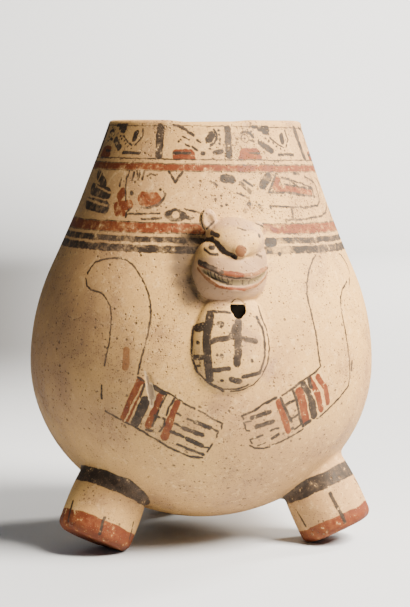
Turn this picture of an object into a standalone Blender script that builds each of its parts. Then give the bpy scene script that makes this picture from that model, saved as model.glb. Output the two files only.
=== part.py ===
# Tripod effigy vessel: a pear-shaped clay jar on three stub legs, with an animal's
# head and a rounded belly lobe modelled on its front wall. Metres, +Z up, and the
# head faces -Y. The jar, legs, head and lobe are one fired piece.

import math

import bmesh
import bpy
from mathutils import Matrix, Vector

# Jar: rises are above its widest ring, and slopes are the wall's lean from upright
WALL = 0.007
LIP_ROUND = 0.003
UNDERSIDE_GAP = 0.014
BELLY_DROP = 0.1139
BELLY_RADIUS = 0.125
SHOULDER_RISE = 0.069
SHOULDER_RADIUS = 0.110
SHOULDER_SLOPE = math.radians(24)
NECK_RISE = 0.122
NECK_RADIUS = 0.0878
NECK_SLOPE = math.radians(20)
MOUTH_RISE = 0.1713
MOUTH_RADIUS = 0.0700
MOUTH_SLOPE = math.radians(18.5)
LEAN = math.radians(0.9)
BODY_SIDES = 60
LIP_STEPS = 3

# Legs: stubs that splay outward, each worn to a flat where its sole meets the floor
LEG_COUNT = 3
FIRST_LEG = math.radians(90)
LEGS_OFF_AXIS = 0.003
LEG_SEAT_RADIUS = 0.0855
LEG_SPLAY = math.radians(27)
LEG_RADIUS = 0.0242
LEG_BULGE = 0.0012
LEG_ROOT = 0.012
SOLE_RADIUS = 0.0266
SOLE_EDGE = 0.0065
SOLE_WEAR = 0.0013
LEG_SIDES = 24
LEG_STEPS = 4
SOLE_STEPS = 4

# Head: where its middle is on the wall, and its half width
HEAD_RISE = 0.080
HEAD_STAND_OFF = -0.002
HEAD_HALF_WIDTH = 0.026

# Vent under the chin: a round hole up into a small chamber inside the head
VENT_RADIUS = 0.0046
VENT_RISE = 0.0475
VENT_DEPTH = 0.013
VENT_START = 0.010
VENT_TILT = math.radians(20)
VENT_ASIDE = -0.0012

# Belly lobe under the head, turned a little from the head's own direction
LOBE_RISE = 0.0275
LOBE_HALF_WIDTH = 0.0268
LOBE_HALF_HEIGHT = 0.0355
LOBE_RELIEF = 0.009
LOBE_SINK = 0.005
LOBE_TURN = math.radians(-2.2)
LOBE_TILT = math.radians(-9)
LOBE_TAPER = 0.14

CLAY_COLOUR = (0.72, 0.58, 0.42, 1.0)
CLAY_ROUGHNESS = 0.75

BELLY_HEIGHT = UNDERSIDE_GAP + BELLY_DROP
LIP_FOOT = BELLY_HEIGHT + MOUTH_RISE

# Forms of the head as middle, half widths and turn, in shares of the head's half width
MUZZLE = ((-0.13, -0.06, -0.30), (0.97, 0.95, 0.80))
HEAD_FORMS = (
    ("skull", (-0.01, -0.12, 0.55), (0.76, 0.86, 0.52), (math.radians(18), 0.0, 0.0)),
    ("muzzle", *MUZZLE, (0.0, 0.0, 0.0)),
    ("jaw", (-0.15, -0.26, -0.66), (0.82, 0.68, 0.52), (0.0, 0.0, 0.0)),
    ("left_cheek", (-0.58, -0.16, 0.10), (0.45, 0.56, 0.46), (0.0, 0.0, 0.0)),
    ("right_cheek", (0.40, -0.16, 0.08), (0.40, 0.56, 0.44), (0.0, 0.0, 0.0)),
    ("nose", (-0.04, -0.91, 0.29), (0.17, 0.13, 0.16), (0.0, 0.0, 0.0)),
    ("ear", (-0.70, 0.04, 1.03), (0.235, 0.18, 0.30), (0.0, math.radians(-8), 0.0)),
    ("ear_stump", (0.62, 0.15, 0.88), (0.20, 0.24, 0.15), (0.0, math.radians(35), 0.0)),
    ("nape", (0.0, 0.45, 0.0), (0.86, 0.6, 1.0), (0.0, 0.0, 0.0)),
)
HEAD_HOLLOWS = (
    ("ear_dish", (-0.71, -0.19, 1.04), (0.15, 0.13, 0.20), (0.0, math.radians(-8), 0.0)),
    ("chamber", (0.0, -0.42, -0.3), (0.48, 0.34, 0.74), (0.0, 0.0, 0.0)),
)
FORM_SIDES = (20, 12)
SMALL_FORM_SIDES = (12, 8)
SMALL_FORM = 0.3

# Lips and mouth: how far each sags in the middle, how thick it is and how proud it stands
LIP_REACH = math.radians(78)
MOUTH_CORNER = -0.06
MOUTH_TILT = -0.055
UPPER_LIP = (0.29, 0.07, -0.01)
LOWER_LIP = (0.65, 0.08, 0.02)
MOUTH_SLIT = (0.46, 0.12, 0.092)


def clear_scene():
    for thing in list(bpy.data.objects):
        bpy.data.objects.remove(thing, do_unlink=True)


def new_collection(name):
    collection = bpy.data.collections.new(name)
    bpy.context.scene.collection.children.link(collection)
    return collection


def fired_clay():
    material = bpy.data.materials.new("fired clay")
    material.use_nodes = True
    shader = material.node_tree.nodes["Principled BSDF"]
    shader.inputs["Base Color"].default_value = CLAY_COLOUR
    shader.inputs["Roughness"].default_value = CLAY_ROUGHNESS
    material.diffuse_color = CLAY_COLOUR
    return material


def add_object(name, data, collection, parent):
    thing = bpy.data.objects.new(name, data)
    collection.objects.link(thing)
    thing.parent = parent
    return thing


def between(start, end, share):
    """Radius and rise part of the way between two stations of (rise, radius, slope)."""
    span = end[0] - start[0]
    ease = share * share * (3 - 2 * share)
    leaving = share * (1 - share) ** 2 * math.tan(start[2])
    arriving = share * share * (1 - share) * math.tan(end[2])
    radius = start[1] + (end[1] - start[1]) * ease - span * (leaving - arriving)
    return radius, start[0] + span * share


def outer_wall(drop_steps, rise_steps):
    """Points (radius, height) up the outside, from the underside's middle to the lip's foot."""
    points = []
    for step in range(drop_steps):
        angle = math.radians(90) * step / drop_steps
        height = BELLY_HEIGHT - BELLY_DROP * math.cos(angle)
        points.append((BELLY_RADIUS * math.sin(angle), height))
    stations = (
        (0.0, BELLY_RADIUS, 0.0),
        (SHOULDER_RISE, SHOULDER_RADIUS, SHOULDER_SLOPE),
        (NECK_RISE, NECK_RADIUS, NECK_SLOPE),
        (MOUTH_RISE, MOUTH_RADIUS, MOUTH_SLOPE),
    )
    for start, end, steps in zip(stations, stations[1:], rise_steps):
        for step in range(steps):
            radius, rise = between(start, end, step / steps)
            points.append((radius, BELLY_HEIGHT + rise))
    points.append((MOUTH_RADIUS, LIP_FOOT))
    return points


def inset(points, depth):
    """The wall moved inward along its normals, with its first point kept on the axis."""
    moved = [(0.0, points[0][1] + depth)]
    ends = points[2:] + points[-1:]
    for before, point, after in zip(points, points[1:], ends):
        along = Vector((after[0] - before[0], after[1] - before[1])).normalized()
        moved.append((point[0] - along.y * depth, point[1] + along.x * depth))
    return moved


def wall_radius(rise):
    """Radius of the outer wall at a rise above the widest ring."""
    points = outer_wall(1, (30, 20, 20))[1:]
    for (low_radius, low), (high_radius, high) in zip(points, points[1:]):
        if low <= BELLY_HEIGHT + rise <= high:
            share = (BELLY_HEIGHT + rise - low) / (high - low)
            return low_radius + (high_radius - low_radius) * share
    return MOUTH_RADIUS


def turned(name, points, sides, collection, parent):
    """A body of revolution from (radius, height) points that run down its outer side."""
    mesh = bpy.data.meshes.new(name)
    places = [(radius, 0.0, height) for radius, height in points]
    edges = [(index, index + 1) for index in range(len(places) - 1)]
    mesh.from_pydata(places, edges, [])
    thing = add_object(name, mesh, collection, parent)
    screw = thing.modifiers.new("Turn", "SCREW")
    screw.axis = "Z"
    screw.steps = sides
    screw.render_steps = sides
    screw.use_merge_vertices = True
    screw.merge_threshold = 0.00001
    screw.use_smooth_shade = True
    return thing


def egg(name, middle, half_widths, turn, collection, parent, taper, sides, rings):
    """An ellipsoid with its half widths along its own X, Y and Z, narrower toward +Z by taper."""
    form = bmesh.new()
    bmesh.ops.create_uvsphere(form, u_segments=sides, v_segments=rings, radius=1.0)
    for vertex in form.verts:
        vertex.co.x *= 1 - taper * vertex.co.z
    bmesh.ops.scale(form, vec=half_widths, verts=form.verts)
    mesh = bpy.data.meshes.new(name)
    form.to_mesh(mesh)
    form.free()
    mesh.shade_smooth()
    thing = add_object(name, mesh, collection, parent)
    thing.location = middle
    thing.rotation_euler = turn
    return thing


def bar(name, points, radius, collection, parent):
    """A closed round bar along points, made as a curve and kept as a mesh."""
    curve = bpy.data.curves.new(name, "CURVE")
    curve.dimensions = "3D"
    curve.bevel_depth = radius
    curve.bevel_resolution = 2
    curve.use_fill_caps = True
    spline = curve.splines.new("POLY")
    spline.points.add(len(points) - 1)
    for point, place in zip(spline.points, points):
        point.co = (*place, 1.0)
    guide = add_object(name, curve, collection, None)
    bpy.context.view_layer.update()
    seen = guide.evaluated_get(bpy.context.evaluated_depsgraph_get())
    mesh = bpy.data.meshes.new_from_object(seen)
    bpy.data.objects.remove(guide, do_unlink=True)
    form = bmesh.new()
    form.from_mesh(mesh)
    bmesh.ops.remove_doubles(form, verts=form.verts, dist=0.00001)
    form.to_mesh(mesh)
    form.free()
    mesh.shade_smooth()
    return add_object(name, mesh, collection, parent)


def jar_body(collection, parent):
    """The jar's solid outer form, with the outer corner of its lip rounded."""
    points = outer_wall(9, (6, 4, 3))
    for step in range(1, LIP_STEPS + 1):
        angle = math.radians(90) * step / LIP_STEPS
        radius = MOUTH_RADIUS - LIP_ROUND * (1 - math.cos(angle))
        points.append((radius, LIP_FOOT + LIP_ROUND * math.sin(angle)))
    points.append((0.0, LIP_FOOT + LIP_ROUND))
    return turned("vessel", points[::-1], BODY_SIDES, collection, parent)


def jar_hollow(collection, parent):
    """The hollow inside, one wall in, with the inner corner of the lip rounded."""
    points = inset(outer_wall(7, (4, 3, 2)), WALL)
    foot_radius = MOUTH_RADIUS - WALL / math.cos(MOUTH_SLOPE)
    for step in range(LIP_STEPS + 1):
        angle = math.radians(90) * step / LIP_STEPS
        radius = foot_radius + LIP_ROUND * (1 - math.cos(angle))
        points.append((radius, LIP_FOOT + LIP_ROUND * math.sin(angle)))
    above = LIP_FOOT + LIP_ROUND + WALL
    points.append((foot_radius + LIP_ROUND, above))
    points.append((0.0, above))
    return turned("jar_hollow", points[::-1], BODY_SIDES, collection, parent)


def leg(number, collection, parent):
    """A stub leg, as long as its sole needs to be worn flat on the floor."""
    around = FIRST_LEG + math.tau * number / LEG_COUNT
    outward = Vector((math.cos(around), math.sin(around), 0.0))
    share = LEG_SEAT_RADIUS / BELLY_RADIUS
    seat_height = BELLY_HEIGHT - BELLY_DROP * math.sqrt(1 - share**2)
    lean = Matrix.Rotation(LEAN, 3, "Y")
    seat = lean @ (outward * LEG_SEAT_RADIUS + Vector((0.0, 0.0, seat_height)))
    down = lean @ (outward * math.sin(LEG_SPLAY) - Vector((0.0, 0.0, math.cos(LEG_SPLAY))))
    dip = (SOLE_RADIUS - SOLE_EDGE) * math.sqrt(1 - down.z**2)
    length = (seat.z + SOLE_WEAR - SOLE_EDGE - dip) / -down.z
    points = [(0.0, LEG_ROOT)]
    for step in range(LEG_STEPS + 1):
        share = step / LEG_STEPS
        radius = LEG_RADIUS + (SOLE_RADIUS - LEG_RADIUS) * share
        radius += LEG_BULGE * math.sin(math.pi * share)
        points.append((radius, LEG_ROOT - share * (LEG_ROOT + length)))
    for step in range(1, SOLE_STEPS + 1):
        angle = math.radians(90) * step / SOLE_STEPS
        radius = SOLE_RADIUS - SOLE_EDGE * (1 - math.cos(angle))
        points.append((radius, -length - SOLE_EDGE * math.sin(angle)))
    points.append((0.0, -length - SOLE_EDGE))
    stub = turned(f"leg_{number + 1}", points, LEG_SIDES, collection, parent)
    stub.location = seat + Vector((LEGS_OFF_AXIS, 0.0, 0.0))
    stub.rotation_euler = (-down).to_track_quat("Z", "Y").to_euler()
    return stub


def grin(sag, proud, reach, count):
    """Points across the muzzle from cheek to cheek, lower in the middle by sag."""
    middle, half_widths = MUZZLE
    points = []
    for step in range(count):
        angle = reach * (2 * step / (count - 1) - 1)
        depth = (math.cos(angle) - math.cos(LIP_REACH)) / (1 - math.cos(LIP_REACH))
        height = MOUTH_CORNER + MOUTH_TILT * math.sin(angle) - sag * depth
        girth = math.sqrt(1 - ((height - middle[2]) / half_widths[2]) ** 2)
        across = middle[0] + (half_widths[0] * girth + proud) * math.sin(angle)
        forward = middle[1] - (half_widths[1] * girth + proud) * math.cos(angle)
        points.append(Vector((across, forward, height)) * HEAD_HALF_WIDTH)
    return points


def head(parts, joined, cuts, parent):
    """The head's forms, lips and hollows round an empty at its middle."""
    base = add_object("head_middle", None, parts, parent)
    forward = wall_radius(HEAD_RISE) + HEAD_STAND_OFF
    base.location = (0.0, -forward, BELLY_HEIGHT + HEAD_RISE)
    for forms, collection in ((HEAD_FORMS, joined), (HEAD_HOLLOWS, cuts)):
        for name, middle, half_widths, turn in forms:
            place = Vector(middle) * HEAD_HALF_WIDTH
            size = Vector(half_widths) * HEAD_HALF_WIDTH
            sides, rings = SMALL_FORM_SIDES if half_widths[0] < SMALL_FORM else FORM_SIDES
            egg(name, place, size, turn, collection, base, 0.0, sides, rings)
    for name, (sag, thickness, proud), collection, reach in (
        ("upper_lip", UPPER_LIP, joined, LIP_REACH),
        ("lower_lip", LOWER_LIP, joined, LIP_REACH),
        ("mouth_slit", MOUTH_SLIT, cuts, LIP_REACH * 0.55),
    ):
        path = grin(sag, proud, reach, 13)
        bar(name, path, thickness * HEAD_HALF_WIDTH, collection, base)


def lobe(collection, parent):
    """The belly lobe: an egg let into the wall, with its narrow end up under the chin."""
    out = wall_radius(LOBE_RISE) - LOBE_SINK
    place = (out * math.sin(LOBE_TURN), -out * math.cos(LOBE_TURN), BELLY_HEIGHT + LOBE_RISE)
    size = (LOBE_HALF_WIDTH, LOBE_SINK + LOBE_RELIEF, LOBE_HALF_HEIGHT)
    turn = (LOBE_TILT, 0.0, LOBE_TURN)
    egg("lobe", place, size, turn, collection, parent, LOBE_TAPER, 26, 16)


def vent(collection, parent):
    """The hole under the chin, as a bar from outside the wall up toward the chamber."""
    along = Vector((0.0, math.cos(VENT_TILT), math.sin(VENT_TILT)))
    opening = Vector((VENT_ASIDE, -wall_radius(VENT_RISE) - LOBE_RELIEF, BELLY_HEIGHT + VENT_RISE))
    ends = (opening - along * VENT_START, opening + along * VENT_DEPTH)
    bar("vent", ends, VENT_RADIUS, collection, parent)


def floor_cut(collection, parent):
    """The floor that the three soles are worn flat against."""
    form = bmesh.new()
    bmesh.ops.create_cube(form, size=4 * BELLY_RADIUS)
    mesh = bpy.data.meshes.new("floor")
    form.to_mesh(mesh)
    form.free()
    block = add_object("floor", mesh, collection, parent)
    block.location.z = -2 * BELLY_RADIUS


def join_and_cut(body, joined, cuts):
    for name, operation, operands in (("Join", "UNION", joined), ("Cut", "DIFFERENCE", cuts)):
        step = body.modifiers.new(name, "BOOLEAN")
        step.operation = operation
        step.solver = "EXACT"
        step.operand_type = "COLLECTION"
        step.collection = operands
    for operands in (joined, cuts):
        for thing in operands.objects:
            thing.hide_render = True
            thing.display_type = "WIRE"


def centre_over_footprint(body, root):
    """Move the root so that the origin is under the middle of the jar's bounding box."""
    bpy.context.view_layer.update()
    seen = body.evaluated_get(bpy.context.evaluated_depsgraph_get())
    corners = [seen.matrix_world @ vertex.co for vertex in seen.data.vertices]
    for axis in range(2):
        places = [corner[axis] for corner in corners]
        root.location[axis] -= (min(places) + max(places)) / 2


def build():
    clear_scene()
    parts = new_collection("tripod effigy vessel")
    joined = new_collection("joined forms")
    cuts = new_collection("cutters")
    root = add_object("vessel_origin", None, parts, None)
    axis = add_object("jar_axis", None, parts, root)
    axis.rotation_euler.y = LEAN
    body = jar_body(parts, axis)
    body.data.materials.append(fired_clay())
    jar_hollow(cuts, axis)
    for number in range(LEG_COUNT):
        leg(number, joined, root)
    head(parts, joined, cuts, axis)
    lobe(joined, axis)
    vent(cuts, axis)
    floor_cut(cuts, root)
    join_and_cut(body, joined, cuts)
    centre_over_footprint(body, root)


build()
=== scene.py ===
# Dresses the tripod effigy jar: one piece of fired clay under a worn, painted cream slip,
# then the floor, the backdrop, the light and the camera. Metres, +Z up, head toward -Y.
import math

import bmesh
import bpy
import numpy as np
from mathutils import Euler, Matrix, Vector


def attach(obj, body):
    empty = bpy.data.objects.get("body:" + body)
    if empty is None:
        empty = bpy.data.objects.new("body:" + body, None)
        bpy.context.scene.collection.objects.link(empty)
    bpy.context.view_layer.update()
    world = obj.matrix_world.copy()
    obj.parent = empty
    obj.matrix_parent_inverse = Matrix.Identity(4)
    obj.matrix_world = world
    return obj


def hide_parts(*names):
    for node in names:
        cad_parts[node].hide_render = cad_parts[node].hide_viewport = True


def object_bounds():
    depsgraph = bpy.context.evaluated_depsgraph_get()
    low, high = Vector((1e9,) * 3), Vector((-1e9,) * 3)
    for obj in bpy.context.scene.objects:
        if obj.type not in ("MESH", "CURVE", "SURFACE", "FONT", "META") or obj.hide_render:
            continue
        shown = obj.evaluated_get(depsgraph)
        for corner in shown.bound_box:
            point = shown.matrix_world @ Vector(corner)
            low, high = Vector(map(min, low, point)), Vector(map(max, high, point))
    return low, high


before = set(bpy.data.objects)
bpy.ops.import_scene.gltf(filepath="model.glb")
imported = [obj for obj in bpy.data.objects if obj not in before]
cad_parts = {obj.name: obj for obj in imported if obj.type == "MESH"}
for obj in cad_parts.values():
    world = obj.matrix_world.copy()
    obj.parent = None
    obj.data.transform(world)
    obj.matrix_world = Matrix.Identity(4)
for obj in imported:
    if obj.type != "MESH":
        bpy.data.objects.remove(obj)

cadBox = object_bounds()

# The jar's sizes, as in the CAD: rises are above the widest ring, slopes are in degrees
jarShape = {
    "wall": 0.007,
    "lipRound": 0.003,
    "undersideGap": 0.014,
    "bellyDrop": 0.1139,
    "bellyRadius": 0.125,
    "shoulder": (0.069, 0.110, 24.0),
    "neck": (0.122, 0.0878, 20.0),
    "mouth": (0.1713, 0.0700, 18.5),
    "lean": 0.9,
    "axisFoot": (-0.00201, 0.00356, 0.0),
    "handSwell": 0.0004,  # how far the hand-built wall wanders inward
    "handSpan": 0.012,
    "rimWear": 0.0006,
    "rimSpan": 0.009,
    "innerRound": 0.0027,
    "footRound": 0.0008,
    "boxGap": 0.00006,  # kept inside the front of the solid's box
}
legShape = {
    "count": 3,
    "firstAngle": 90.0,
    "offAxis": 0.003,
    "seatRadius": 0.0855,
    "splay": 27.0,
    "radius": 0.0242,
    "bulge": 0.0012,
    "root": 0.012,
    "soleRadius": 0.0266,
    "soleEdge": 0.0065,
    "soleWear": 0.0013,
    "join": 0.004,  # how softly a leg runs into the belly
    "span": 0.09,  # no clay of a leg is farther than this from its seat
    "clawGroove": 0.0008,
    "claws": (-0.75, 0.05, 0.8),
    "clawWidth": 0.09,
    "clawStart": 0.55,
}
# The head's forms, in shares of its half width: middle, half widths, turn about X and Y, blend
headShape = {
    "rise": 0.080,
    "standOff": -0.002,
    "halfWidth": 0.026,
    "join": 0.0022,
    "span": 0.06,  # no clay of the head is farther than this from its middle
    "forms": {
        "muzzle": ((-0.13, -0.06, -0.30), (0.97, 0.95, 0.80), (0, 0), 0.0),
        "jaw": ((-0.15, -0.26, -0.66), (0.82, 0.68, 0.52), (0, 0), 0.16),
        "leftCheek": ((-0.58, -0.16, 0.10), (0.45, 0.56, 0.46), (0, 0), 0.16),
        "rightCheek": ((0.40, -0.16, 0.08), (0.40, 0.56, 0.44), (0, 0), 0.16),
        "skull": ((-0.01, -0.12, 0.55), (0.76, 0.86, 0.52), (18, 0), 0.05),
        "nose": ((-0.04, -0.91, 0.29), (0.19, 0.10, 0.18), (0, 0), 0.08),
        "ear": ((-0.70, 0.04, 1.03), (0.235, 0.18, 0.30), (0, -8), 0.07),
        "earStump": ((0.62, 0.15, 0.88), (0.20, 0.24, 0.15), (0, 35), 0.12),
        "nape": ((0.0, 0.45, 0.0), (0.86, 0.6, 1.0), (0, 0), 0.16),
    },
    "earDish": ((-0.71, -0.19, 1.04), (0.15, 0.13, 0.20), (0, -8), 0.05),
    "chamber": ((0.0, -0.42, -0.3), (0.48, 0.34, 0.74), (0, 0), 0.02),
    "eye": ((-0.72, -0.60, 0.36), 0.13, 0.035),  # middle, width and height of its low swelling
    "mouthCorner": -0.06,
    "mouthTilt": -0.055,
    "mouthReach": 78.0,
    "mouthFade": 0.15,
    # How far each line of the mouth sags in its middle, its half width and how proud it stands
    "mouthLines": [(0.29, 0.075, 0.05), (0.65, 0.055, 0.04), (0.47, 0.13, -0.035)],
}
lobeShape = {
    "rise": 0.0275,
    "halfWidth": 0.0268,
    "halfHeight": 0.0355,
    "relief": 0.009,
    "sink": 0.005,
    "turn": -2.2,
    "tilt": -9.0,
    "taper": 0.14,
    "join": 0.0012,
    "below": 0.05,  # its clay lies within the head's span of a place this far under the head
}
ventShape = {
    "radius": 0.0051,
    "rise": 0.0485,
    "depth": 0.013,
    "start": 0.010,
    "tilt": 20.0,
    "aside": -0.0016,
    "edge": 0.0012,
    "chamberJoin": 0.001,
    "uneven": 0.0005,
}
rimDip = {"angle": -0.165, "reach": 0.36, "depth": 0.0013, "rise": 0.0105}
scars = []  # flaked and chipped places: a path over the clay, how wide and how deep

bellyHeight = jarShape["undersideGap"] + jarShape["bellyDrop"]
lipTop = bellyHeight + jarShape["mouth"][0] + jarShape["lipRound"]
leanTurn = Matrix.Rotation(math.radians(jarShape["lean"]), 3, "Y")
axisFoot = Vector(jarShape["axisFoot"])


# Small shape sums, all on numpy arrays of points or distances
def softUnion(first, second, blend):
    share = np.clip(0.5 + 0.5 * (second - first) / blend, 0.0, 1.0)
    return second + (first - second) * share - blend * share * (1.0 - share)


def softCut(first, second, blend):
    return -softUnion(-first, second, blend)


def roundedCorner(first, second, radius):
    outside = np.hypot(np.maximum(first + radius, 0.0), np.maximum(second + radius, 0.0))
    return np.minimum(np.maximum(first + radius, second + radius), 0.0) + outside - radius


def wallStations():
    belly = (0.0, jarShape["bellyRadius"], 0.0)
    return [belly] + [jarShape[name] for name in ("shoulder", "neck", "mouth")]


def wallCurve(steps=60):
    # Rise and radius up the wall from its widest ring, by cubic pieces with given slopes
    rises, radii = [], []
    stations = wallStations()
    for (low, lowRadius, lowSlope), (high, highRadius, highSlope) in zip(stations, stations[1:]):
        share = np.linspace(0.0, 1.0, steps)
        ease = share * share * (3 - 2 * share)
        leaving = share * (1 - share) ** 2 * math.tan(math.radians(lowSlope))
        arriving = share * share * (1 - share) * math.tan(math.radians(highSlope))
        rises.append(low + (high - low) * share)
        radii.append(lowRadius + (highRadius - lowRadius) * ease - (high - low) * (leaving - arriving))
    rises, radii = np.concatenate(rises), np.concatenate(radii)
    keep = np.concatenate(([True], np.diff(rises) > 1e-9))
    return rises[keep], radii[keep]


wallRises, wallRadii = wallCurve()
wallCosines = np.cos(np.arctan(np.gradient(wallRadii, wallRises)))


def wallRadius(rise):
    return float(np.interp(rise, wallRises, wallRadii))


def inJarFrame(points):
    return (points - np.array(axisFoot)) @ np.array(leanTurn)


def wallDistance(places):
    # How far points in the jar's own frame stand outside its outer wall
    radius = np.hypot(places[:, 0], places[:, 1])
    rise = places[:, 2] - bellyHeight
    upper = (radius - np.interp(rise, wallRises, wallRadii)) * np.interp(rise, wallRises, wallCosines)
    wide, deep = jarShape["bellyRadius"], jarShape["bellyDrop"]
    share = np.hypot(radius / wide, rise / deep)
    lower = share * (share - 1) / (np.hypot(radius / wide**2, rise / deep**2) + 1e-9)
    return np.where(rise > 0, upper, lower)


def eggDistance(points, middle, halfWidths, turn):
    local = (points - np.array(middle)) @ np.array(turn)
    half = np.array(halfWidths)
    share = np.linalg.norm(local / half, axis=1)
    return share * (share - 1) / (np.linalg.norm(local / half**2, axis=1) + 1e-9)


def tubeDistance(points, path, radius):
    nearest = np.full(len(points), 1.0)
    for start, end in zip(path, path[1:]):
        start, along = np.array(start), np.array(end) - np.array(start)
        share = np.clip((points - start) @ along / (along @ along), 0.0, 1.0)
        reach = np.linalg.norm(points - start - share[:, None] * along, axis=1)
        nearest = np.minimum(nearest, reach)
    return nearest - radius


def legSeatHeight():
    share = legShape["seatRadius"] / jarShape["bellyRadius"]
    return bellyHeight - jarShape["bellyDrop"] * math.sqrt(1 - share**2)


def legPlaces():
    # Each leg's seat on the belly, the way it points and its length, which wears its sole flat
    places = []
    edge = legShape["soleEdge"]
    splay = math.radians(legShape["splay"])
    for number in range(legShape["count"]):
        around = math.radians(legShape["firstAngle"]) + math.tau * number / legShape["count"]
        outward = Vector((math.cos(around), math.sin(around), 0.0))
        seat = leanTurn @ (outward * legShape["seatRadius"] + Vector((0, 0, legSeatHeight())))
        down = leanTurn @ (outward * math.sin(splay) - Vector((0, 0, math.cos(splay))))
        dip = (legShape["soleRadius"] - edge) * math.sqrt(1 - down.z**2)
        length = (seat.z + legShape["soleWear"] - edge - dip) / -down.z
        seat = seat + axisFoot + Vector((legShape["offAxis"], 0, 0))
        side = down.cross(Vector((0, 0, 1))).normalized()
        places.append((seat, down, side, length))
    return places


legs = legPlaces()


def legSpot(points, number):
    # Distance down a leg, distance out from its middle, and the angle round it from its front
    seat, down, side = legs[number][:3]
    local = points - np.array(seat)
    depth = local @ np.array(down)
    front = np.array(side.cross(down))
    out, across = local @ front, local @ np.array(side)
    return depth, np.hypot(out, across), np.arctan2(across, out)


def legRadiusAt(depth, length):
    share = np.clip((depth + legShape["root"]) / (length + legShape["root"]), 0.0, 1.0)
    straight = legShape["radius"] + (legShape["soleRadius"] - legShape["radius"]) * share
    return straight + legShape["bulge"] * np.sin(math.pi * share)


def legDistance(points, number):
    length = legs[number][3]
    depth, out, around = legSpot(points, number)
    side = out - legRadiusAt(depth, length)
    start = legShape["clawStart"]
    toe = np.clip((depth - start * length) / ((1 - start) * length), 0.0, 1.0)
    for angle in legShape["claws"]:
        groove = np.exp(-(((around - angle) / legShape["clawWidth"]) ** 2))
        side = side + legShape["clawGroove"] * toe * groove
    body = roundedCorner(side, depth - length - legShape["soleEdge"], legShape["soleEdge"])
    return np.maximum(body, -legShape["root"] - depth)


headForward = wallRadius(headShape["rise"]) + headShape["standOff"]
headMiddle = np.array((0.0, -headForward, bellyHeight + headShape["rise"]))


def headPlace(name):
    # The middle, half widths and turn of one of the head's forms, in the jar's frame
    middle, half, turn = (headShape["forms"].get(name) or headShape[name])[:3]
    size = headShape["halfWidth"]
    tipped = Euler((math.radians(turn[0]), math.radians(turn[1]), 0.0)).to_matrix()
    return headMiddle + size * np.array(middle), size * np.array(half), tipped


def headForm(places, name):
    return eggDistance(places, *headPlace(name))


def mouthRelief(local):
    # Raised lips and a sunk strip of teeth, along lines that sag across the muzzle
    middle = headShape["forms"]["muzzle"][0]
    angle = np.arctan2(local[:, 0] - middle[0], middle[1] - local[:, 1])
    reach = math.radians(headShape["mouthReach"])
    within = np.clip((reach - np.abs(angle)) / headShape["mouthFade"], 0.0, 1.0)
    bow = (np.cos(angle) - math.cos(reach)) / (1 - math.cos(reach))
    corners = headShape["mouthCorner"] + headShape["mouthTilt"] * np.sin(angle)
    total = np.zeros(len(local))
    for sag, wide, proud in headShape["mouthLines"]:
        total += proud * np.exp(-(((local[:, 2] - corners + sag * bow) / wide) ** 2))
    return total * within


def headDistance(places):
    # The head's own clay, in the jar's frame, with its lips, eye and ear dish
    size = headShape["halfWidth"]
    total = None
    for name, plan in headShape["forms"].items():
        form = headForm(places, name)
        total = form if total is None else softUnion(total, form, plan[3] * size)
    local = (places - headMiddle) / size
    middle, wide, proud = headShape["eye"]
    eye = proud * np.exp(-((np.linalg.norm(local - np.array(middle), axis=1) / wide) ** 2))
    total = total - size * (mouthRelief(local) + eye)
    return softCut(total, headForm(places, "earDish"), headShape["earDish"][3] * size)


def lobePlace():
    out = wallRadius(lobeShape["rise"]) - lobeShape["sink"]
    turn = math.radians(lobeShape["turn"])
    middle = (out * math.sin(turn), -out * math.cos(turn), bellyHeight + lobeShape["rise"])
    half = (lobeShape["halfWidth"], lobeShape["sink"] + lobeShape["relief"], lobeShape["halfHeight"])
    tilt = Matrix.Rotation(turn, 3, "Z") @ Matrix.Rotation(math.radians(lobeShape["tilt"]), 3, "X")
    return middle, half, tilt


def lobeDistance(places):
    middle, half, tilt = lobePlace()
    local = (places - np.array(middle)) @ np.array(tilt)
    local[:, 0] /= 1 - lobeShape["taper"] * np.clip(local[:, 2] / half[2], -1.0, 1.0)
    return eggDistance(local, (0, 0, 0), half, Matrix.Identity(3))


def ventEnds():
    tilt = math.radians(ventShape["tilt"])
    along = np.array((0.0, math.cos(tilt), math.sin(tilt)))
    out = wallRadius(ventShape["rise"]) + lobeShape["relief"]
    opening = np.array((ventShape["aside"], -out, bellyHeight + ventShape["rise"]))
    return opening - along * ventShape["start"], opening + along * ventShape["depth"]


def ventDistance(places):
    # The vent and the small chamber in the head that it opens into
    vent = tubeDistance(places, ventEnds(), ventShape["radius"])
    vent += ventShape["uneven"] * np.sin(places[:, 0] * 900 + 0.6) * np.sin(places[:, 2] * 700)
    return softUnion(vent, headForm(places, "chamber"), ventShape["chamberJoin"])


def swell(points, size):
    # Slow unevenness of a hand-built form, from 0 to 1
    total = np.zeros(len(points))
    for turn, tilt, shift in ((0.3, 0.5, 0.0), (1.9, -0.7, 1.3), (3.4, 1.1, 2.9), (5.0, -0.2, 4.4)):
        way = np.array((math.cos(turn), math.sin(turn), tilt)) / size
        total += np.sin(points @ way + shift)
    return 0.5 + total / 8


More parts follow.
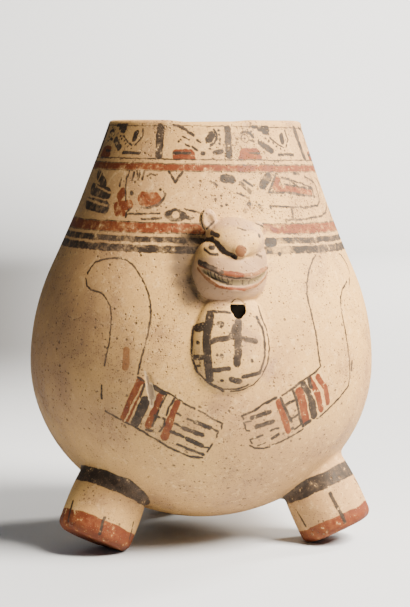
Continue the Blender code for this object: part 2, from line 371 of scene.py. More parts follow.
def clayDistance(points):
    # How far points stand outside the fired clay: the whole jar as one soft union
    places = inJarFrame(points)
    wall = wallDistance(places)
    solid = wall + jarShape["handSwell"] * swell(points, jarShape["handSpan"])
    for number in range(legShape["count"]):
        near = np.linalg.norm(points - np.array(legs[number][0]), axis=1) < legShape["span"]
        solid[near] = softUnion(solid[near], legDistance(points[near], number), legShape["join"])
    near = np.linalg.norm(places - headMiddle, axis=1) < headShape["span"]
    solid[near] = softUnion(solid[near], headDistance(places[near]), headShape["join"])
    below = headMiddle - np.array((0, 0, lobeShape["below"]))
    near = np.linalg.norm(places - below, axis=1) < headShape["span"]
    solid[near] = softUnion(solid[near], lobeDistance(places[near]), lobeShape["join"])
    solid[near] = softCut(solid[near], ventDistance(places[near]), ventShape["edge"])
    for path, width, depth in scars:
        near = np.linalg.norm(points - path.mean(axis=0), axis=1) < 0.05
        reach = tubeDistance(points[near], path, 0.0)
        solid[near] += depth * np.exp(-((reach / width) ** 4))
    worn = jarShape["rimWear"] * swell(places * np.array((1, 1, 0)), jarShape["rimSpan"])
    around = np.arctan2(places[:, 0], -places[:, 1]) - rimDip["angle"]
    worn += rimDip["depth"] * np.exp(-((around / rimDip["reach"]) ** 6))
    worn -= rimDip["rise"] * np.maximum(places[:, 0] + jarShape["mouth"][1], 0.0)
    lip = roundedCorner(solid, places[:, 2] - lipTop + worn, jarShape["lipRound"])
    shell = roundedCorner(lip, -(wall + jarShape["wall"]), jarShape["innerRound"])
    shell = np.maximum(shell, cadBox[0][1] + jarShape["boxGap"] - points[:, 1])
    return roundedCorner(shell, -points[:, 2], jarShape["footRound"])


print("shape sums ready")


# Geometry Nodes: a profile turned round Z, and a ring of tilted copies of it
def addNode(tree, kind, inputs=None, **settings):
    node = tree.nodes.new(kind)
    for name, value in settings.items():
        setattr(node, name, value)
    for name, value in (inputs or {}).items():
        socket = node.inputs[name]
        if isinstance(value, bpy.types.NodeSocket):
            tree.links.new(value, socket)
        else:
            socket.default_value = value
    return node


def newTree(name, kind, inputs, outputs):
    tree = bpy.data.node_groups.new(name, kind)
    for label, socket in inputs.items():
        tree.interface.new_socket(name=label, in_out="INPUT", socket_type="NodeSocket" + socket)
    for label, socket in outputs.items():
        tree.interface.new_socket(name=label, in_out="OUTPUT", socket_type="NodeSocket" + socket)
    return tree, tree.nodes.new("NodeGroupInput").outputs, tree.nodes.new("NodeGroupOutput").inputs


def turnedFormTree():
    inputs = {"Profile": "Geometry", "Sides": "Int", "Rings": "Int", "Clay": "Material"}
    tree, given, made = newTree("turnedForm", "GeometryNodeTree", inputs, {"Form": "Geometry"})
    curve = addNode(tree, "GeometryNodeMeshToCurve", {"Mesh": given["Profile"]}).outputs["Curve"]
    grid = addNode(tree, "GeometryNodeMeshGrid",
                   {"Vertices X": given["Sides"], "Vertices Y": given["Rings"]})
    place = addNode(tree, "GeometryNodeInputPosition").outputs["Position"]
    flat = addNode(tree, "ShaderNodeSeparateXYZ", {"Vector": place})
    angle = addNode(tree, "ShaderNodeMath", operation="MULTIPLY",
                    inputs={0: flat.outputs["X"], 1: math.tau})
    share = addNode(tree, "ShaderNodeMath", operation="ADD", inputs={0: flat.outputs["Y"], 1: 0.5})
    sample = addNode(tree, "GeometryNodeSampleCurve", use_all_curves=True)
    tree.links.new(curve, sample.inputs["Curves"])
    tree.links.new(share.outputs[0], sample.inputs["Factor"])
    around = addNode(tree, "ShaderNodeVectorRotate", rotation_type="Z_AXIS",
                     inputs={"Vector": sample.outputs["Position"], "Angle": angle.outputs[0]})
    wrapped = addNode(tree, "GeometryNodeSetPosition",
                      {"Geometry": grid.outputs["Mesh"], "Position": around.outputs["Vector"]})
    closed = addNode(tree, "GeometryNodeMergeByDistance",
                     {"Geometry": wrapped.outputs["Geometry"], "Distance": 0.00001})
    dressed = addNode(tree, "GeometryNodeSetMaterial",
                      {"Geometry": closed.outputs["Geometry"], "Material": given["Clay"]})
    tree.links.new(dressed.outputs["Geometry"], made["Form"])
    return tree


def legRingTree(turned):
    inputs = {"Profile": "Geometry", "Sides": "Int", "Rings": "Int", "Clay": "Material", "Count": "Int",
              "First Angle": "Float", "Splay": "Float", "Seat Radius": "Float", "Seat Height": "Float",
              "Lean": "Float", "Foot": "Vector"}
    tree, given, made = newTree("legRing", "GeometryNodeTree", inputs, {"Legs": "Geometry"})
    stub = addNode(tree, "GeometryNodeGroup", node_tree=turned,
                   inputs={name: given[name] for name in ("Profile", "Sides", "Rings", "Clay")})
    tilt = addNode(tree, "ShaderNodeMath", operation="MULTIPLY", inputs={0: given["Splay"], 1: -1.0})
    turn = addNode(tree, "ShaderNodeCombineXYZ", {"Y": tilt.outputs[0]})
    seat = addNode(tree, "ShaderNodeCombineXYZ", {"X": given["Seat Radius"], "Z": given["Seat Height"]})
    seated = addNode(tree, "GeometryNodeTransform", {
        "Geometry": stub.outputs[0], "Translation": seat.outputs[0], "Rotation": turn.outputs[0]})
    index = addNode(tree, "GeometryNodeInputIndex").outputs[0]
    step = addNode(tree, "ShaderNodeMath", operation="DIVIDE", inputs={0: math.tau, 1: given["Count"]})
    angle = addNode(tree, "ShaderNodeMath", operation="MULTIPLY_ADD",
                    inputs={0: index, 1: step.outputs[0], 2: given["First Angle"]})
    spin = addNode(tree, "ShaderNodeCombineXYZ", {"Z": angle.outputs[0]})
    spots = addNode(tree, "GeometryNodeMeshLine", {"Count": given["Count"], "Offset": (0, 0, 0)})
    copies = addNode(tree, "GeometryNodeInstanceOnPoints", {
        "Points": spots.outputs[0], "Instance": seated.outputs[0], "Rotation": spin.outputs[0]})
    real = addNode(tree, "GeometryNodeRealizeInstances", {"Geometry": copies.outputs[0]})
    lean = addNode(tree, "ShaderNodeCombineXYZ", {"Y": given["Lean"]})
    leaned = addNode(tree, "GeometryNodeTransform", {
        "Geometry": real.outputs[0], "Translation": given["Foot"], "Rotation": lean.outputs[0]})
    dressed = addNode(tree, "GeometryNodeSetMaterial",
                      {"Geometry": leaned.outputs[0], "Material": given["Clay"]})
    tree.links.new(dressed.outputs[0], made["Legs"])
    return tree


def grownMesh(name, profile, tree, values):
    # A profile of (radius, height) points, run through a tree and kept as a plain mesh
    mesh = bpy.data.meshes.new(name)
    places = [(radius, 0.0, height) for radius, height in profile]
    mesh.from_pydata(places, [(spot, spot + 1) for spot in range(len(places) - 1)], [])
    holder = bpy.data.objects.new(name, mesh)
    bpy.context.scene.collection.objects.link(holder)
    modifier = holder.modifiers.new("Grow", "NODES")
    modifier.node_group = tree
    for item in tree.interface.items_tree:
        if item.in_out == "INPUT" and item.name in values:
            modifier[item.identifier] = values[item.name]
    seen = holder.evaluated_get(bpy.context.evaluated_depsgraph_get())
    grown = bpy.data.meshes.new_from_object(seen)
    holder.modifiers.remove(modifier)
    bpy.data.objects.remove(holder, do_unlink=True)
    return grown


def wallProfile(depth, top):
    # The wall's outline from its middle below up to a height, moved inward by depth
    angles = np.linspace(0.0, math.pi / 2, 24)[:-1]
    wide, deep = jarShape["bellyRadius"] - depth, jarShape["bellyDrop"] - depth
    points = [(wide * math.sin(angle), bellyHeight - deep * math.cos(angle)) for angle in angles]
    slide = depth / wallCosines
    points += list(zip(wallRadii[::6] - slide[::6], bellyHeight + wallRises[::6]))
    points = [(radius, height) for radius, height in points if height < top - 0.0005]
    return points + [(points[-1][0], top), (0.0, top)]


def legProfile(length):
    edge = legShape["soleEdge"]
    points = [(0.0, legShape["root"])]
    for share in np.linspace(0.0, 1.0, 7):
        depth = share * (length + legShape["root"]) - legShape["root"]
        points.append((float(legRadiusAt(depth, length)), -depth))
    for angle in np.radians((30, 60, 90)):
        lower, inward = edge * math.sin(angle), edge * (1 - math.cos(angle))
        points.append((legShape["soleRadius"] - inward, -length - lower))
    return points + [(0.0, -length - edge)]


def addEgg(form, middle, half, turn, taper=0.0):
    made = bmesh.ops.create_uvsphere(form, u_segments=32, v_segments=20, radius=1.0)["verts"]
    for vertex in made:
        vertex.co.x *= 1 - taper * vertex.co.z
        vertex.co = Vector(middle) + turn @ Vector([vertex.co[axis] * half[axis] for axis in range(3)])
        vertex.co = leanTurn @ vertex.co + axisFoot


meshPlan = {
    "jarGrid": (121, 90),  # faces round and up the turned forms
    "legGrid": (49, 24),
    "voxel": 0.0026,
    "finer": ((0.006, 0.003), (0.003, -1.0)),  # each pass's reach off the head and off the lobe
    "finerVent": 0.0012,
    "finerScar": 0.002,
    "insideGap": 0.003,
    "rounds": 4,
    "probe": 0.00008,
    "leastSlope": 0.25,
    "stride": 0.003,
    "ease": 0.5,
}


def roughForm(clay):
    # Every lump of clay overlapping in one mesh, made one even skin, then hollowed
    turned = turnedFormTree()
    turning = dict(zip(("Sides", "Rings"), meshPlan["jarGrid"]), Clay=clay)
    body = grownMesh("jarForm", wallProfile(0.0, lipTop), turned, turning)
    hollow = grownMesh("jarHollow", wallProfile(jarShape["wall"], lipTop + 0.01), turned, turning)
    ringValues = dict(zip(("Sides", "Rings"), meshPlan["legGrid"]), Clay=clay)
    ringValues.update({
        "Count": legShape["count"], "First Angle": math.radians(legShape["firstAngle"]),
        "Splay": math.radians(legShape["splay"]), "Seat Radius": legShape["seatRadius"],
        "Seat Height": legSeatHeight(), "Lean": math.radians(jarShape["lean"]),
        "Foot": tuple(axisFoot + Vector((legShape["offAxis"], 0, 0)))})
    stubs = grownMesh("legForms", legProfile(legs[0][3]), legRingTree(turned), ringValues)
    for mesh in (body, hollow):
        mesh.transform(Matrix.Translation(axisFoot) @ leanTurn.to_4x4())
    form = bmesh.new()
    form.from_mesh(body)
    form.from_mesh(stubs)
    for name in headShape["forms"]:
        addEgg(form, *headPlace(name))
    addEgg(form, *lobePlace(), lobeShape["taper"])
    bmesh.ops.recalc_face_normals(form, faces=form.faces)
    joined = bpy.data.meshes.new("paintedVessel")
    form.to_mesh(joined)
    form.clear()
    form.from_mesh(hollow)
    addEgg(form, *headPlace("chamber"))
    start, end = [Vector(end) for end in ventEnds()]
    bar = bmesh.ops.create_cone(form, cap_ends=True, segments=20, radius1=ventShape["radius"],
                                radius2=ventShape["radius"], depth=(end - start).length)["verts"]
    upright = (end - start).to_track_quat("Z", "Y").to_matrix()
    for vertex in bar:
        vertex.co = leanTurn @ (upright @ vertex.co + (start + end) / 2) + axisFoot
    bmesh.ops.recalc_face_normals(form, faces=form.faces)
    form.to_mesh(hollow)
    form.free()
    vessel = bpy.data.objects.new("paintedVessel", joined)
    cutter = bpy.data.objects.new("jarHollow", hollow)
    for thing in (vessel, cutter):
        bpy.context.scene.collection.objects.link(thing)
    skin = vessel.modifiers.new("Skin", "REMESH")
    skin.mode = "VOXEL"
    skin.voxel_size = meshPlan["voxel"]
    cut = vessel.modifiers.new("Hollow", "BOOLEAN")
    cut.operation = "DIFFERENCE"
    cut.solver = "EXACT"
    cut.object = cutter
    seen = vessel.evaluated_get(bpy.context.evaluated_depsgraph_get())
    vessel.data = bpy.data.meshes.new_from_object(seen)
    vessel.modifiers.clear()
    bpy.data.objects.remove(cutter, do_unlink=True)
    return vessel


def regionDistances(points):
    # How far points stand off the head, the lobe and the nearest leg, and inside the hollow
    places = inJarFrame(points)
    nearest = np.min([legDistance(points, number) for number in range(legShape["count"])], axis=0)
    inside = -(wallDistance(places) + jarShape["wall"])
    return headDistance(places), lobeDistance(places), nearest, inside


def refine(mesh):
    # Finer faces on the head, the lobe, the vent and the scars, where small forms need them
    form = bmesh.new()
    form.from_mesh(mesh)
    for headReach, lobeReach in meshPlan["finer"]:
        middles = np.array([face.calc_center_median() for face in form.faces])
        head, lobe, _, inside = regionDistances(middles)
        near = (head < headReach) | (lobe < lobeReach)
        near |= ventDistance(inJarFrame(middles)) < meshPlan["finerVent"]
        for path, width, depth in scars:
            near |= tubeDistance(middles, path, width) < meshPlan["finerScar"]
        near &= inside < -meshPlan["insideGap"]
        form.faces.ensure_lookup_table()
        edges = {edge for spot in np.flatnonzero(near) for edge in form.faces[spot].edges}
        bmesh.ops.subdivide_edges(form, edges=list(edges), cuts=1, use_grid_fill=True)
    form.to_mesh(mesh)
    form.free()


def readPoints(source, field):
    points = np.empty(len(source) * 3)
    source.foreach_get(field, points)
    return points.reshape(-1, 3)


def settle(mesh):
    # Draw every point onto the clay's surface, easing the net of edges along it between draws
    count = len(mesh.vertices)
    points = readPoints(mesh.vertices, "co")
    edges = np.empty(len(mesh.edges) * 2, dtype=np.int64)
    mesh.edges.foreach_get("vertices", edges)
    edges = edges.reshape(-1, 2)
    links = np.bincount(edges.ravel(), minlength=count)[:, None]
    probe, stride = meshPlan["probe"], meshPlan["stride"]
    for turn in range(meshPlan["rounds"]):
        distance = clayDistance(points)
        slope = np.empty_like(points)
        for axis in range(3):
            step = np.zeros(3)
            step[axis] = probe
            slope[:, axis] = (clayDistance(points + step) - distance) / probe
        steep = np.maximum(np.sum(slope * slope, axis=1), meshPlan["leastSlope"])
        move = -slope * (distance / steep)[:, None]
        points = points + np.clip(move, -stride, stride)
        if turn < meshPlan["rounds"] - 1:
            around = np.zeros_like(points)
            for axis in range(3):
                around[:, axis] = np.bincount(edges[:, 0], points[edges[:, 1], axis], count)
                around[:, axis] += np.bincount(edges[:, 1], points[edges[:, 0], axis], count)
            pull = around / links - points
            normal = slope / np.sqrt(steep)[:, None]
            pull -= normal * np.sum(pull * normal, axis=1)[:, None]
            points = points + meshPlan["ease"] * pull
    points[:, 2] = np.maximum(points[:, 2], 0.0)
    mesh.vertices.foreach_set("co", points.ravel())
    mesh.update()


# The photograph's view, from measured distance, height and lens
viewPlan = {
    "size": (410, 607),
    "turn": -11.7,
    "aside": -0.2,
    "distance": 1.357,
    "height": 0.2905,
    "down": 5.1,
    "lensPixels": 1861,
    "sensor": 36.0,
    "clearance": 0.2,  # the jar starts at most this far before its axis
    "steps": 60,
    "stepShare": 0.8,
    "longestStep": 0.02,
}


def cameraPlace():
    turn = math.radians(viewPlan["turn"])
    reach = viewPlan["distance"]
    foot = Vector((axisFoot.x, axisFoot.y, viewPlan["height"]))
    place = foot + Vector((reach * math.sin(turn), -reach * math.cos(turn), 0.0))
    tilt = math.radians(90 - viewPlan["down"])
    return place, Euler((tilt, 0.0, turn + math.radians(viewPlan["aside"])))


def photoCamera():
    data = bpy.data.cameras.new("photoCamera")
    camera = bpy.data.objects.new("photoCamera", data)
    camera.location, camera.rotation_euler = cameraPlace()
    data.sensor_fit = "VERTICAL"
    data.sensor_height = viewPlan["sensor"]
    data.lens = data.sensor_height * viewPlan["lensPixels"] / viewPlan["size"][1]
    bpy.context.scene.collection.objects.link(camera)
    bpy.context.scene.camera = camera


def onClay(spots):
    # Where pixels of the photograph meet the clay, by stepping along their lines of sight
    place, turn = cameraPlace()
    width, height = viewPlan["size"]
    lens = viewPlan["lensPixels"]
    aim = np.array([((x - width / 2) / lens, (height / 2 - y) / lens, -1.0) for x, y in spots])
    aim = aim @ np.array(turn.to_matrix()).T
    aim /= np.linalg.norm(aim, axis=1)[:, None]
    reach = np.full(len(aim), viewPlan["distance"] - viewPlan["clearance"])
    for step in range(viewPlan["steps"]):
        gap = clayDistance(np.array(place) + aim * reach[:, None])
        reach += viewPlan["stepShare"] * np.minimum(gap, viewPlan["longestStep"])
    reach = np.minimum(reach, viewPlan["distance"])
    return np.array(place) + aim * reach[:, None]


def plainMaterial(name, tint):
    material = bpy.data.materials.new(name)
    material.use_nodes = True
    shader = material.node_tree.nodes["Principled BSDF"]
    shader.inputs["Base Color"].default_value = (*tint, 1.0)
    shader.inputs["Roughness"].default_value = 0.8
    return material


photoCamera()
# The flake by the left hand, then the chips out of the right and the left toes
for spots, width, depth in (
        ([(147.5, 377), (150, 387), (152, 397), (151.4, 404)], 0.0024, 0.0006),
        ([(352, 529), (343, 534), (333, 536)], 0.0022, 0.0007),
        ([(66, 520), (72, 529)], 0.0024, 0.0007)):
    scars.append((onClay(spots), width, depth))

# Painted marks, measured on the photograph. Each is a brush stroke: half its width in
# pixels, then the x and y of every pixel that it passes through; a dot has only one pixel.
rimFrieze = {
    "wrap": (-41.0, 49.0),  # degrees from the front, over which the motif repeats
    "dark": [
        (4.2, 160.8, 127.4, 158.6, 155), (3.3, 227.6, 128.5, 229.1, 155.4),
        (1.2, 178, 125.9, 186, 130, 193, 135.5), (1.3, 174, 125.3, 183, 127.6),
        (0.7, 182.5, 136.3, 188.5, 139.2), (0.9, 178.7, 141.7), (0.8, 180.6, 139.8),
        (0.8, 185.6, 144.2, 189.5, 146.7), (0.9, 192.5, 147.1, 197, 150.1),
        (0.9, 196.9, 140, 200.2, 142.2), (3.9, 208.5, 139.2, 211, 135.2),
        (0.9, 213.5, 129.5, 216.3, 134, 216.5, 139, 214, 143, 210, 145.5), (1, 219.2, 134.8),
        (1, 219.7, 139.2), (1.1, 219.6, 143.9), (0.9, 218.2, 130.8), (1.1, 209.8, 148.6),
        (2.2, 202.9, 153.1), (2.2, 215, 152.6, 221, 151.6), (1.2, 173.5, 153.1, 190.5, 153.3),
        (1.6, 253, 127, 267.5, 127.6), (1.9, 259, 129.6, 268, 130.6), (1.4, 263.5, 132.6, 268.3, 134),
        (1.2, 241.5, 133.2, 246, 131.6, 250, 133.5, 253.5, 137.5), (1, 248.8, 140.2, 253.8, 141.7),
        (0.8, 247.3, 129.9), (0.8, 251.3, 131.8), (0.8, 242.9, 128.9), (3, 260, 142.2, 271.5, 150.6),
        (0.9, 265.6, 138.3), (1, 269, 140.9), (0.9, 273.5, 142.7), (0.9, 276.5, 146.2),
        (0.9, 280.4, 148.6), (0.9, 284.4, 150.6), (0.7, 270, 137.8, 278.5, 144.7, 283.4, 147.6),
        (3, 281.3, 135.5, 282.4, 141), (0.8, 284.9, 130.8, 287.8, 139.2, 285.9, 146.7),
        (1.4, 278.5, 155, 293, 155), (0.8, 250, 153.2, 259.5, 153.2), (4.3, 244.9, 138.6),
    ],
    "bare": [(3.3, 244.9, 138.6)],
    "over": [(1.1, 244.9, 138.6)],
    "red": [
        (5, 177.5, 154.5, 190, 154.5), (2.2, 175, 157.3, 193, 157.3),
        (5.4, 244.5, 153.8, 255.5, 153.8), (2.2, 241, 157.3, 260, 157.3),
    ],
}
neckFrieze = {
    "wrap": (-101.0, 79.0),
    "dark": [
        (5.2, 99, 174, 104, 183), (6.2, 93, 189, 107, 193), (6.2, 88, 203, 105, 207),
        (0.8, 129, 171, 127.7, 176), (0.9, 133.9, 172, 132.7, 180), (0.8, 137, 171, 138, 180),
        (0.8, 140.2, 171, 138.5, 179.4), (1.1, 144.3, 171, 142.2, 179.4),
        (0.6, 147.2, 176, 151, 174.2, 155.5, 175.2), (1.1, 150, 178.4),
        (1.1, 168.8, 171.6, 175.4, 181.8, 182.8, 171.9), (1, 121.5, 177.7, 119.8, 186),
        (0.9, 126.5, 176, 125.6, 200), (2.2, 131.8, 193),
        (0.9, 131.4, 207.5, 126.5, 212.5, 125.6, 216.7),
        (1.1, 142, 207.4, 149, 207.6, 158, 205, 163, 199.3, 165.4, 193.5), (1, 149.7, 190.6),
        (1, 160.5, 189.7), (0.8, 164.6, 203.4), (0.8, 165.9, 207.6), (0.6, 126.5, 213.8, 159.6, 213.8),
        (0.9, 141.4, 218.8, 161.3, 218.8), (3.8, 168, 215.4, 175.5, 212, 183, 215.8),
        (3.6, 171, 217.4, 180, 217.8), (1.8, 183, 216.4, 191, 218.2), (0.6, 184.5, 208.8, 200, 212.5),
        (0.9, 211, 181, 217, 185), (4.4, 224.4, 178.6, 231.4, 179.4), (2, 240.6, 183, 250.3, 192.3),
        (1, 243.9, 179.8, 252.5, 186), (4.4, 268, 177, 263, 185), (0.9, 237.4, 193.2, 248.5, 198.3),
        (1.2, 222, 195.5), (1.4, 216, 199.7), (1.3, 226.7, 204.8), (1, 221.7, 206.2),
        (2.4, 248.9, 204.3), (2, 244.8, 211.3), (1.6, 259.5, 205.5, 262, 210),
        (0.8, 270, 206, 271, 209), (1, 276.2, 173, 268.8, 192.8, 288.3, 192.8, 314.8, 197),
        (0.8, 284.5, 184.4, 297, 186.6, 312.3, 189, 314.2, 196.5), (0.9, 288.3, 178.9, 296.6, 186.3),
        (0.8, 289.2, 179, 289.6, 184), (0.7, 291, 180.3, 312.3, 188.1), (0.8, 282, 177.6, 288, 179),
        (1.3, 293.8, 173.6, 299, 174.3),
        (0.8, 304.9, 177, 314.2, 182.6, 317.9, 192.8, 319.7, 201, 317.4, 205.9, 306.8, 207.1, 270.7,
         206.6), (1.2, 316, 178, 319.5, 185),
        (0.8, 326, 202, 325.3, 213.1, 318.8, 216.8, 293.8, 219.6), (2.3, 328.5, 208, 331, 216),
        (0.9, 292, 209.4, 293.8, 219.6, 285.5, 220), (1, 280.9, 195.5), (1, 285, 195.5),
        (0.9, 313.7, 200),
    ],
    "bare": [
        (0.8, 102.4, 171, 118, 185), (0.8, 97.4, 186, 113.2, 194.3), (0.9, 86.7, 198.4, 106.6, 205.9),
        (0.8, 102.8, 169.8, 95.8, 186.8), (3.3, 175.6, 214.9), (2.2, 228, 185.6), (2.6, 175.2, 174.6),
    ],
    "red": [
        (3.8, 119.5, 196.5, 123.5, 192), (4.8, 117, 207, 129, 204.5), (2.4, 120, 197, 119, 205),
        (3, 116, 213, 123, 213), (7, 143.5, 199, 154.5, 199.5), (3.4, 275, 187.6, 277.4, 180),
        (3.4, 277, 189, 290, 188.8), (2.8, 290, 189.2, 311, 193),
    ],
    "rubbed": [
        (9, 264.5, 236, 285, 250), (2, 262, 228, 285, 226), (4, 196, 212, 262, 208),
        (3.2, 122, 217, 126, 240), (2.6, 96, 236, 104, 250),
    ],
    "over": [(4.1, 268, 242.5, 273.5, 242), (2, 257.7, 253.8), (2.2, 280, 253.8)],
}
# Rings painted all round the neck: lowest and highest edge above the floor, in metres
neckRings = {
    "dark": [(0.2748, 0.2756), (0.2718, 0.2724), (0.2668, 0.2673), (0.2316, 0.2322), (0.2246, 0.2251),
             (0.2185, 0.2225), (0.2116, 0.2168), (0.2978, 0.2984)],
    "red": [(0.2675, 0.2718), (0.2252, 0.2316)],
}
leftArm = {
    "dark": [
        (0.75, 87.6, 273.2, 91.2, 267.5, 95.3, 262.4, 103.5, 259.4, 111.6, 258.4, 119.8, 258.2, 127,
         260.4, 134, 266.5, 140.2, 275.7, 145.3, 284.9, 148.4, 295.1, 150.4, 305.3, 150.6, 317.6,
         148.4, 331.8, 145.3, 345.1, 141.2, 360.4, 138.2, 374),
        (0.7, 85.6, 278.8, 87.1, 285.9, 91.2, 290, 95.3, 291, 101.4, 293.1, 106.5, 299.2, 110.1, 306.3,
         111.6, 315.5, 111.1, 327.8, 109.6, 340, 106.5, 354.3, 104.5, 365.5),
        (0.75, 101.7, 385.5, 101.7, 399), (0.8, 137.5, 377, 144.4, 381.2),
        (0.7, 153, 385, 170.5, 394.5, 182.1, 401.5), (0.8, 182.9, 402.8, 194.5, 408.6),
        (0.8, 198.7, 410.2, 205.3, 413.9), (0.75, 207, 415.2, 221.9, 423.9, 221, 429.3),
        (0.8, 217.7, 431.8, 216.5, 437.2), (0.7, 212.8, 443.8, 207, 451.7),
        (0.8, 105.4, 410.6, 117.4, 417.7, 137.3, 428, 158, 440.5, 174.6, 450, 190.4, 456.6, 202.4,
         457.9), (5, 145.4, 401, 135.6, 422.4), (0.9, 166.3, 394, 157.2, 414, 152.4, 426),
        (2.2, 154.5, 387.4, 163.5, 393), (0.9, 144.6, 384, 140.4, 397),
        (1, 154.7, 415.6, 164.3, 418.9), (0.9, 174.6, 398.6, 168.8, 408.1, 166.3, 415.2),
        (0.9, 164.3, 419.8, 163, 426.4, 159.7, 431.4), (1.2, 146.4, 429.7, 153, 431.4),
        (0.8, 177.1, 413.5, 180.8, 415.6), (0.9, 187.9, 418.9, 195.4, 421.4),
        (2.1, 195.4, 422, 210, 427.6), (0.9, 211.5, 428, 217.7, 431.8),
        (0.8, 174.2, 423.1, 181.7, 427.2), (2.1, 183, 427.8, 202.4, 435.2),
        (1.3, 170.9, 431.4, 177.1, 434.3, 183, 437.2), (2.1, 187, 438.8, 201.6, 445.8),
        (0.7, 202.8, 447, 210, 448), (1.2, 177.1, 443.8, 187.9, 449, 203.6, 455),
    ],
    "bare": [(0.5, 142.6, 384.6, 124.6, 420.6)],
    "red": [
        (5, 140.2, 382.6, 125, 417.4), (3.6, 160.4, 396.4, 148.6, 425.4),
        (3.1, 177.4, 402.8, 170, 420), (3.9, 170, 420, 164.4, 436.6),
    ],
    "tan": [(3.4, 126.6, 350.4, 125.4, 367)],
    "flakeRim": [
        (0.8, 145, 371.6, 148.4, 384), (3.6, 149.6, 386, 152, 398), (1.6, 151.8, 398, 151.2, 406),
    ],
    "flake": [(0.8, 147.2, 377, 149, 386), (2.6, 150, 387, 151.8, 397), (0.7, 151.4, 398, 151.2, 404)],
}
rightArm = {
    "dark": [
        (0.75, 316.9, 253.3, 312.5, 259.3, 309.3, 270.1, 307.1, 283.1, 307.1, 294, 308.7, 303.8, 312.5,
         317.9, 315.8, 334.1, 318, 348.2, 320.3, 366.6, 314.6, 372.8, 300.5, 381.9),
        (0.7, 335.3, 250.6, 341.8, 256, 347.2, 264.7, 350, 274), (0.7, 349.4, 278, 349.2, 285),
        (0.75, 346.7, 282, 342.4, 288.6, 340.2, 299.4, 341.8, 312.4, 345.1, 329.8, 348.2, 350, 349.6,
         364, 349.8, 377.4, 348.3, 386.5, 340.3, 396.4, 330.3, 407.2, 317, 418.8),
        (1.2, 300.5, 382.3, 293, 388.1), (0.8, 291.4, 389, 282.2, 395.6),
        (1.2, 276.4, 397.7, 266.5, 403), (0.8, 265.7, 403, 254.9, 409.7, 242, 415.9, 243.7, 418.8),
        (0.8, 244.1, 422.1, 246.6, 430.4, 249.5, 430.4), (0.7, 249.9, 439.6, 251.6, 442.9),
        (0.7, 249.9, 445.4, 254.9, 448, 263.2, 448.3, 269.8, 446.2),
        (0.75, 272.3, 444.5, 283, 440.8, 294.7, 434.6, 303, 429.2), (1.4, 351.9, 361.6, 351.4, 370),
        (0.8, 244.5, 422.1, 250.7, 420.9), (2.1, 251.6, 417.4, 269.6, 412),
        (2.1, 256.4, 426.3, 272.6, 421.4), (1, 270.6, 430, 278.5, 428.3),
        (0.9, 249.9, 439.2, 262.7, 435), (1.4, 272, 438.3, 278.5, 434.2),
        (0.5, 257.8, 445.8, 265.2, 442.5), (1.1, 280.2, 397.7, 290.5, 420.5),
        (1.2, 285.1, 405, 295.1, 400), (1, 291.4, 418.8, 298.4, 414.7), (0.8, 295, 429, 301, 424.6),
        (1.4, 292.5, 389.5, 296.3, 399.8, 298.8, 413, 302, 424), (0.8, 281.4, 398.6, 292, 421.6),
        (3.4, 303.4, 384.6, 308.4, 393, 311.6, 402), (4.4, 312, 403, 314, 415),
        (2.2, 308.8, 379.6, 311.3, 387.3), (1.8, 292.8, 428.4), (1.8, 303, 426, 310, 421),
    ],
    "bare": [(0.7, 312.1, 376.7, 321.2, 390.6, 325.8, 407.9)],
    "red": [
        (3.2, 278.8, 401.9, 288.6, 430.8), (4.6, 299.4, 391.6, 303.4, 404.5, 305.4, 420),
        (3.7, 311, 380.4, 317.6, 394.6, 321.4, 408.5), (3, 317.8, 376.6, 325.4, 388, 328.3, 402),
    ],
}
lobeMarks = {
    "dark": [
        (3.6, 210.2, 316, 207, 333, 207.2, 359, 209.9, 379), (3.4, 198, 328, 204.5, 326),
        (2.5, 195.5, 357.4, 203.7, 357.4), (3.6, 238.8, 322, 238, 339.8, 237.2, 363.5),
        (3.4, 236, 327, 231.4, 336.6), (2.5, 210, 342.6, 217, 339.6, 227.5, 338, 236.7, 336),
        (2.5, 243.6, 339, 255.4, 341.6), (2.1, 212.2, 370.2, 229, 369), (2, 243.4, 377, 260, 373),
        (2.7, 231.6, 379.2, 239.6, 381.4),
        (1.1, 256.6, 317.3, 262.7, 329.8, 264.8, 343.6, 264.6, 357, 260, 372.4),
        (0.65, 258, 306.7, 261.6, 318.3, 266.4, 329.5, 269.4, 345.7, 267.8, 363, 262.4, 375, 254.2,
         384.4, 243, 389.6, 231, 391.8), (0.75, 211, 383.4, 222, 389.4, 238.6, 388.9, 248, 385),
        (0.85, 193.4, 326, 191.4, 340, 191.8, 358, 197, 371.6, 209, 384, 223.6, 391.4),
        (0.9, 208.3, 311.8, 222.9, 311.8, 229.8, 313), (3.4, 220.2, 324), (0.9, 213.7, 324),
        (2.3, 221.7, 355.9), (1.2, 217.4, 355.4), (1.1, 251.2, 326), (1.8, 252, 360.8),
        (1.5, 198, 342.8), (1.3, 198.4, 365.8), (1.5, 221.7, 380.4),
    ],
}
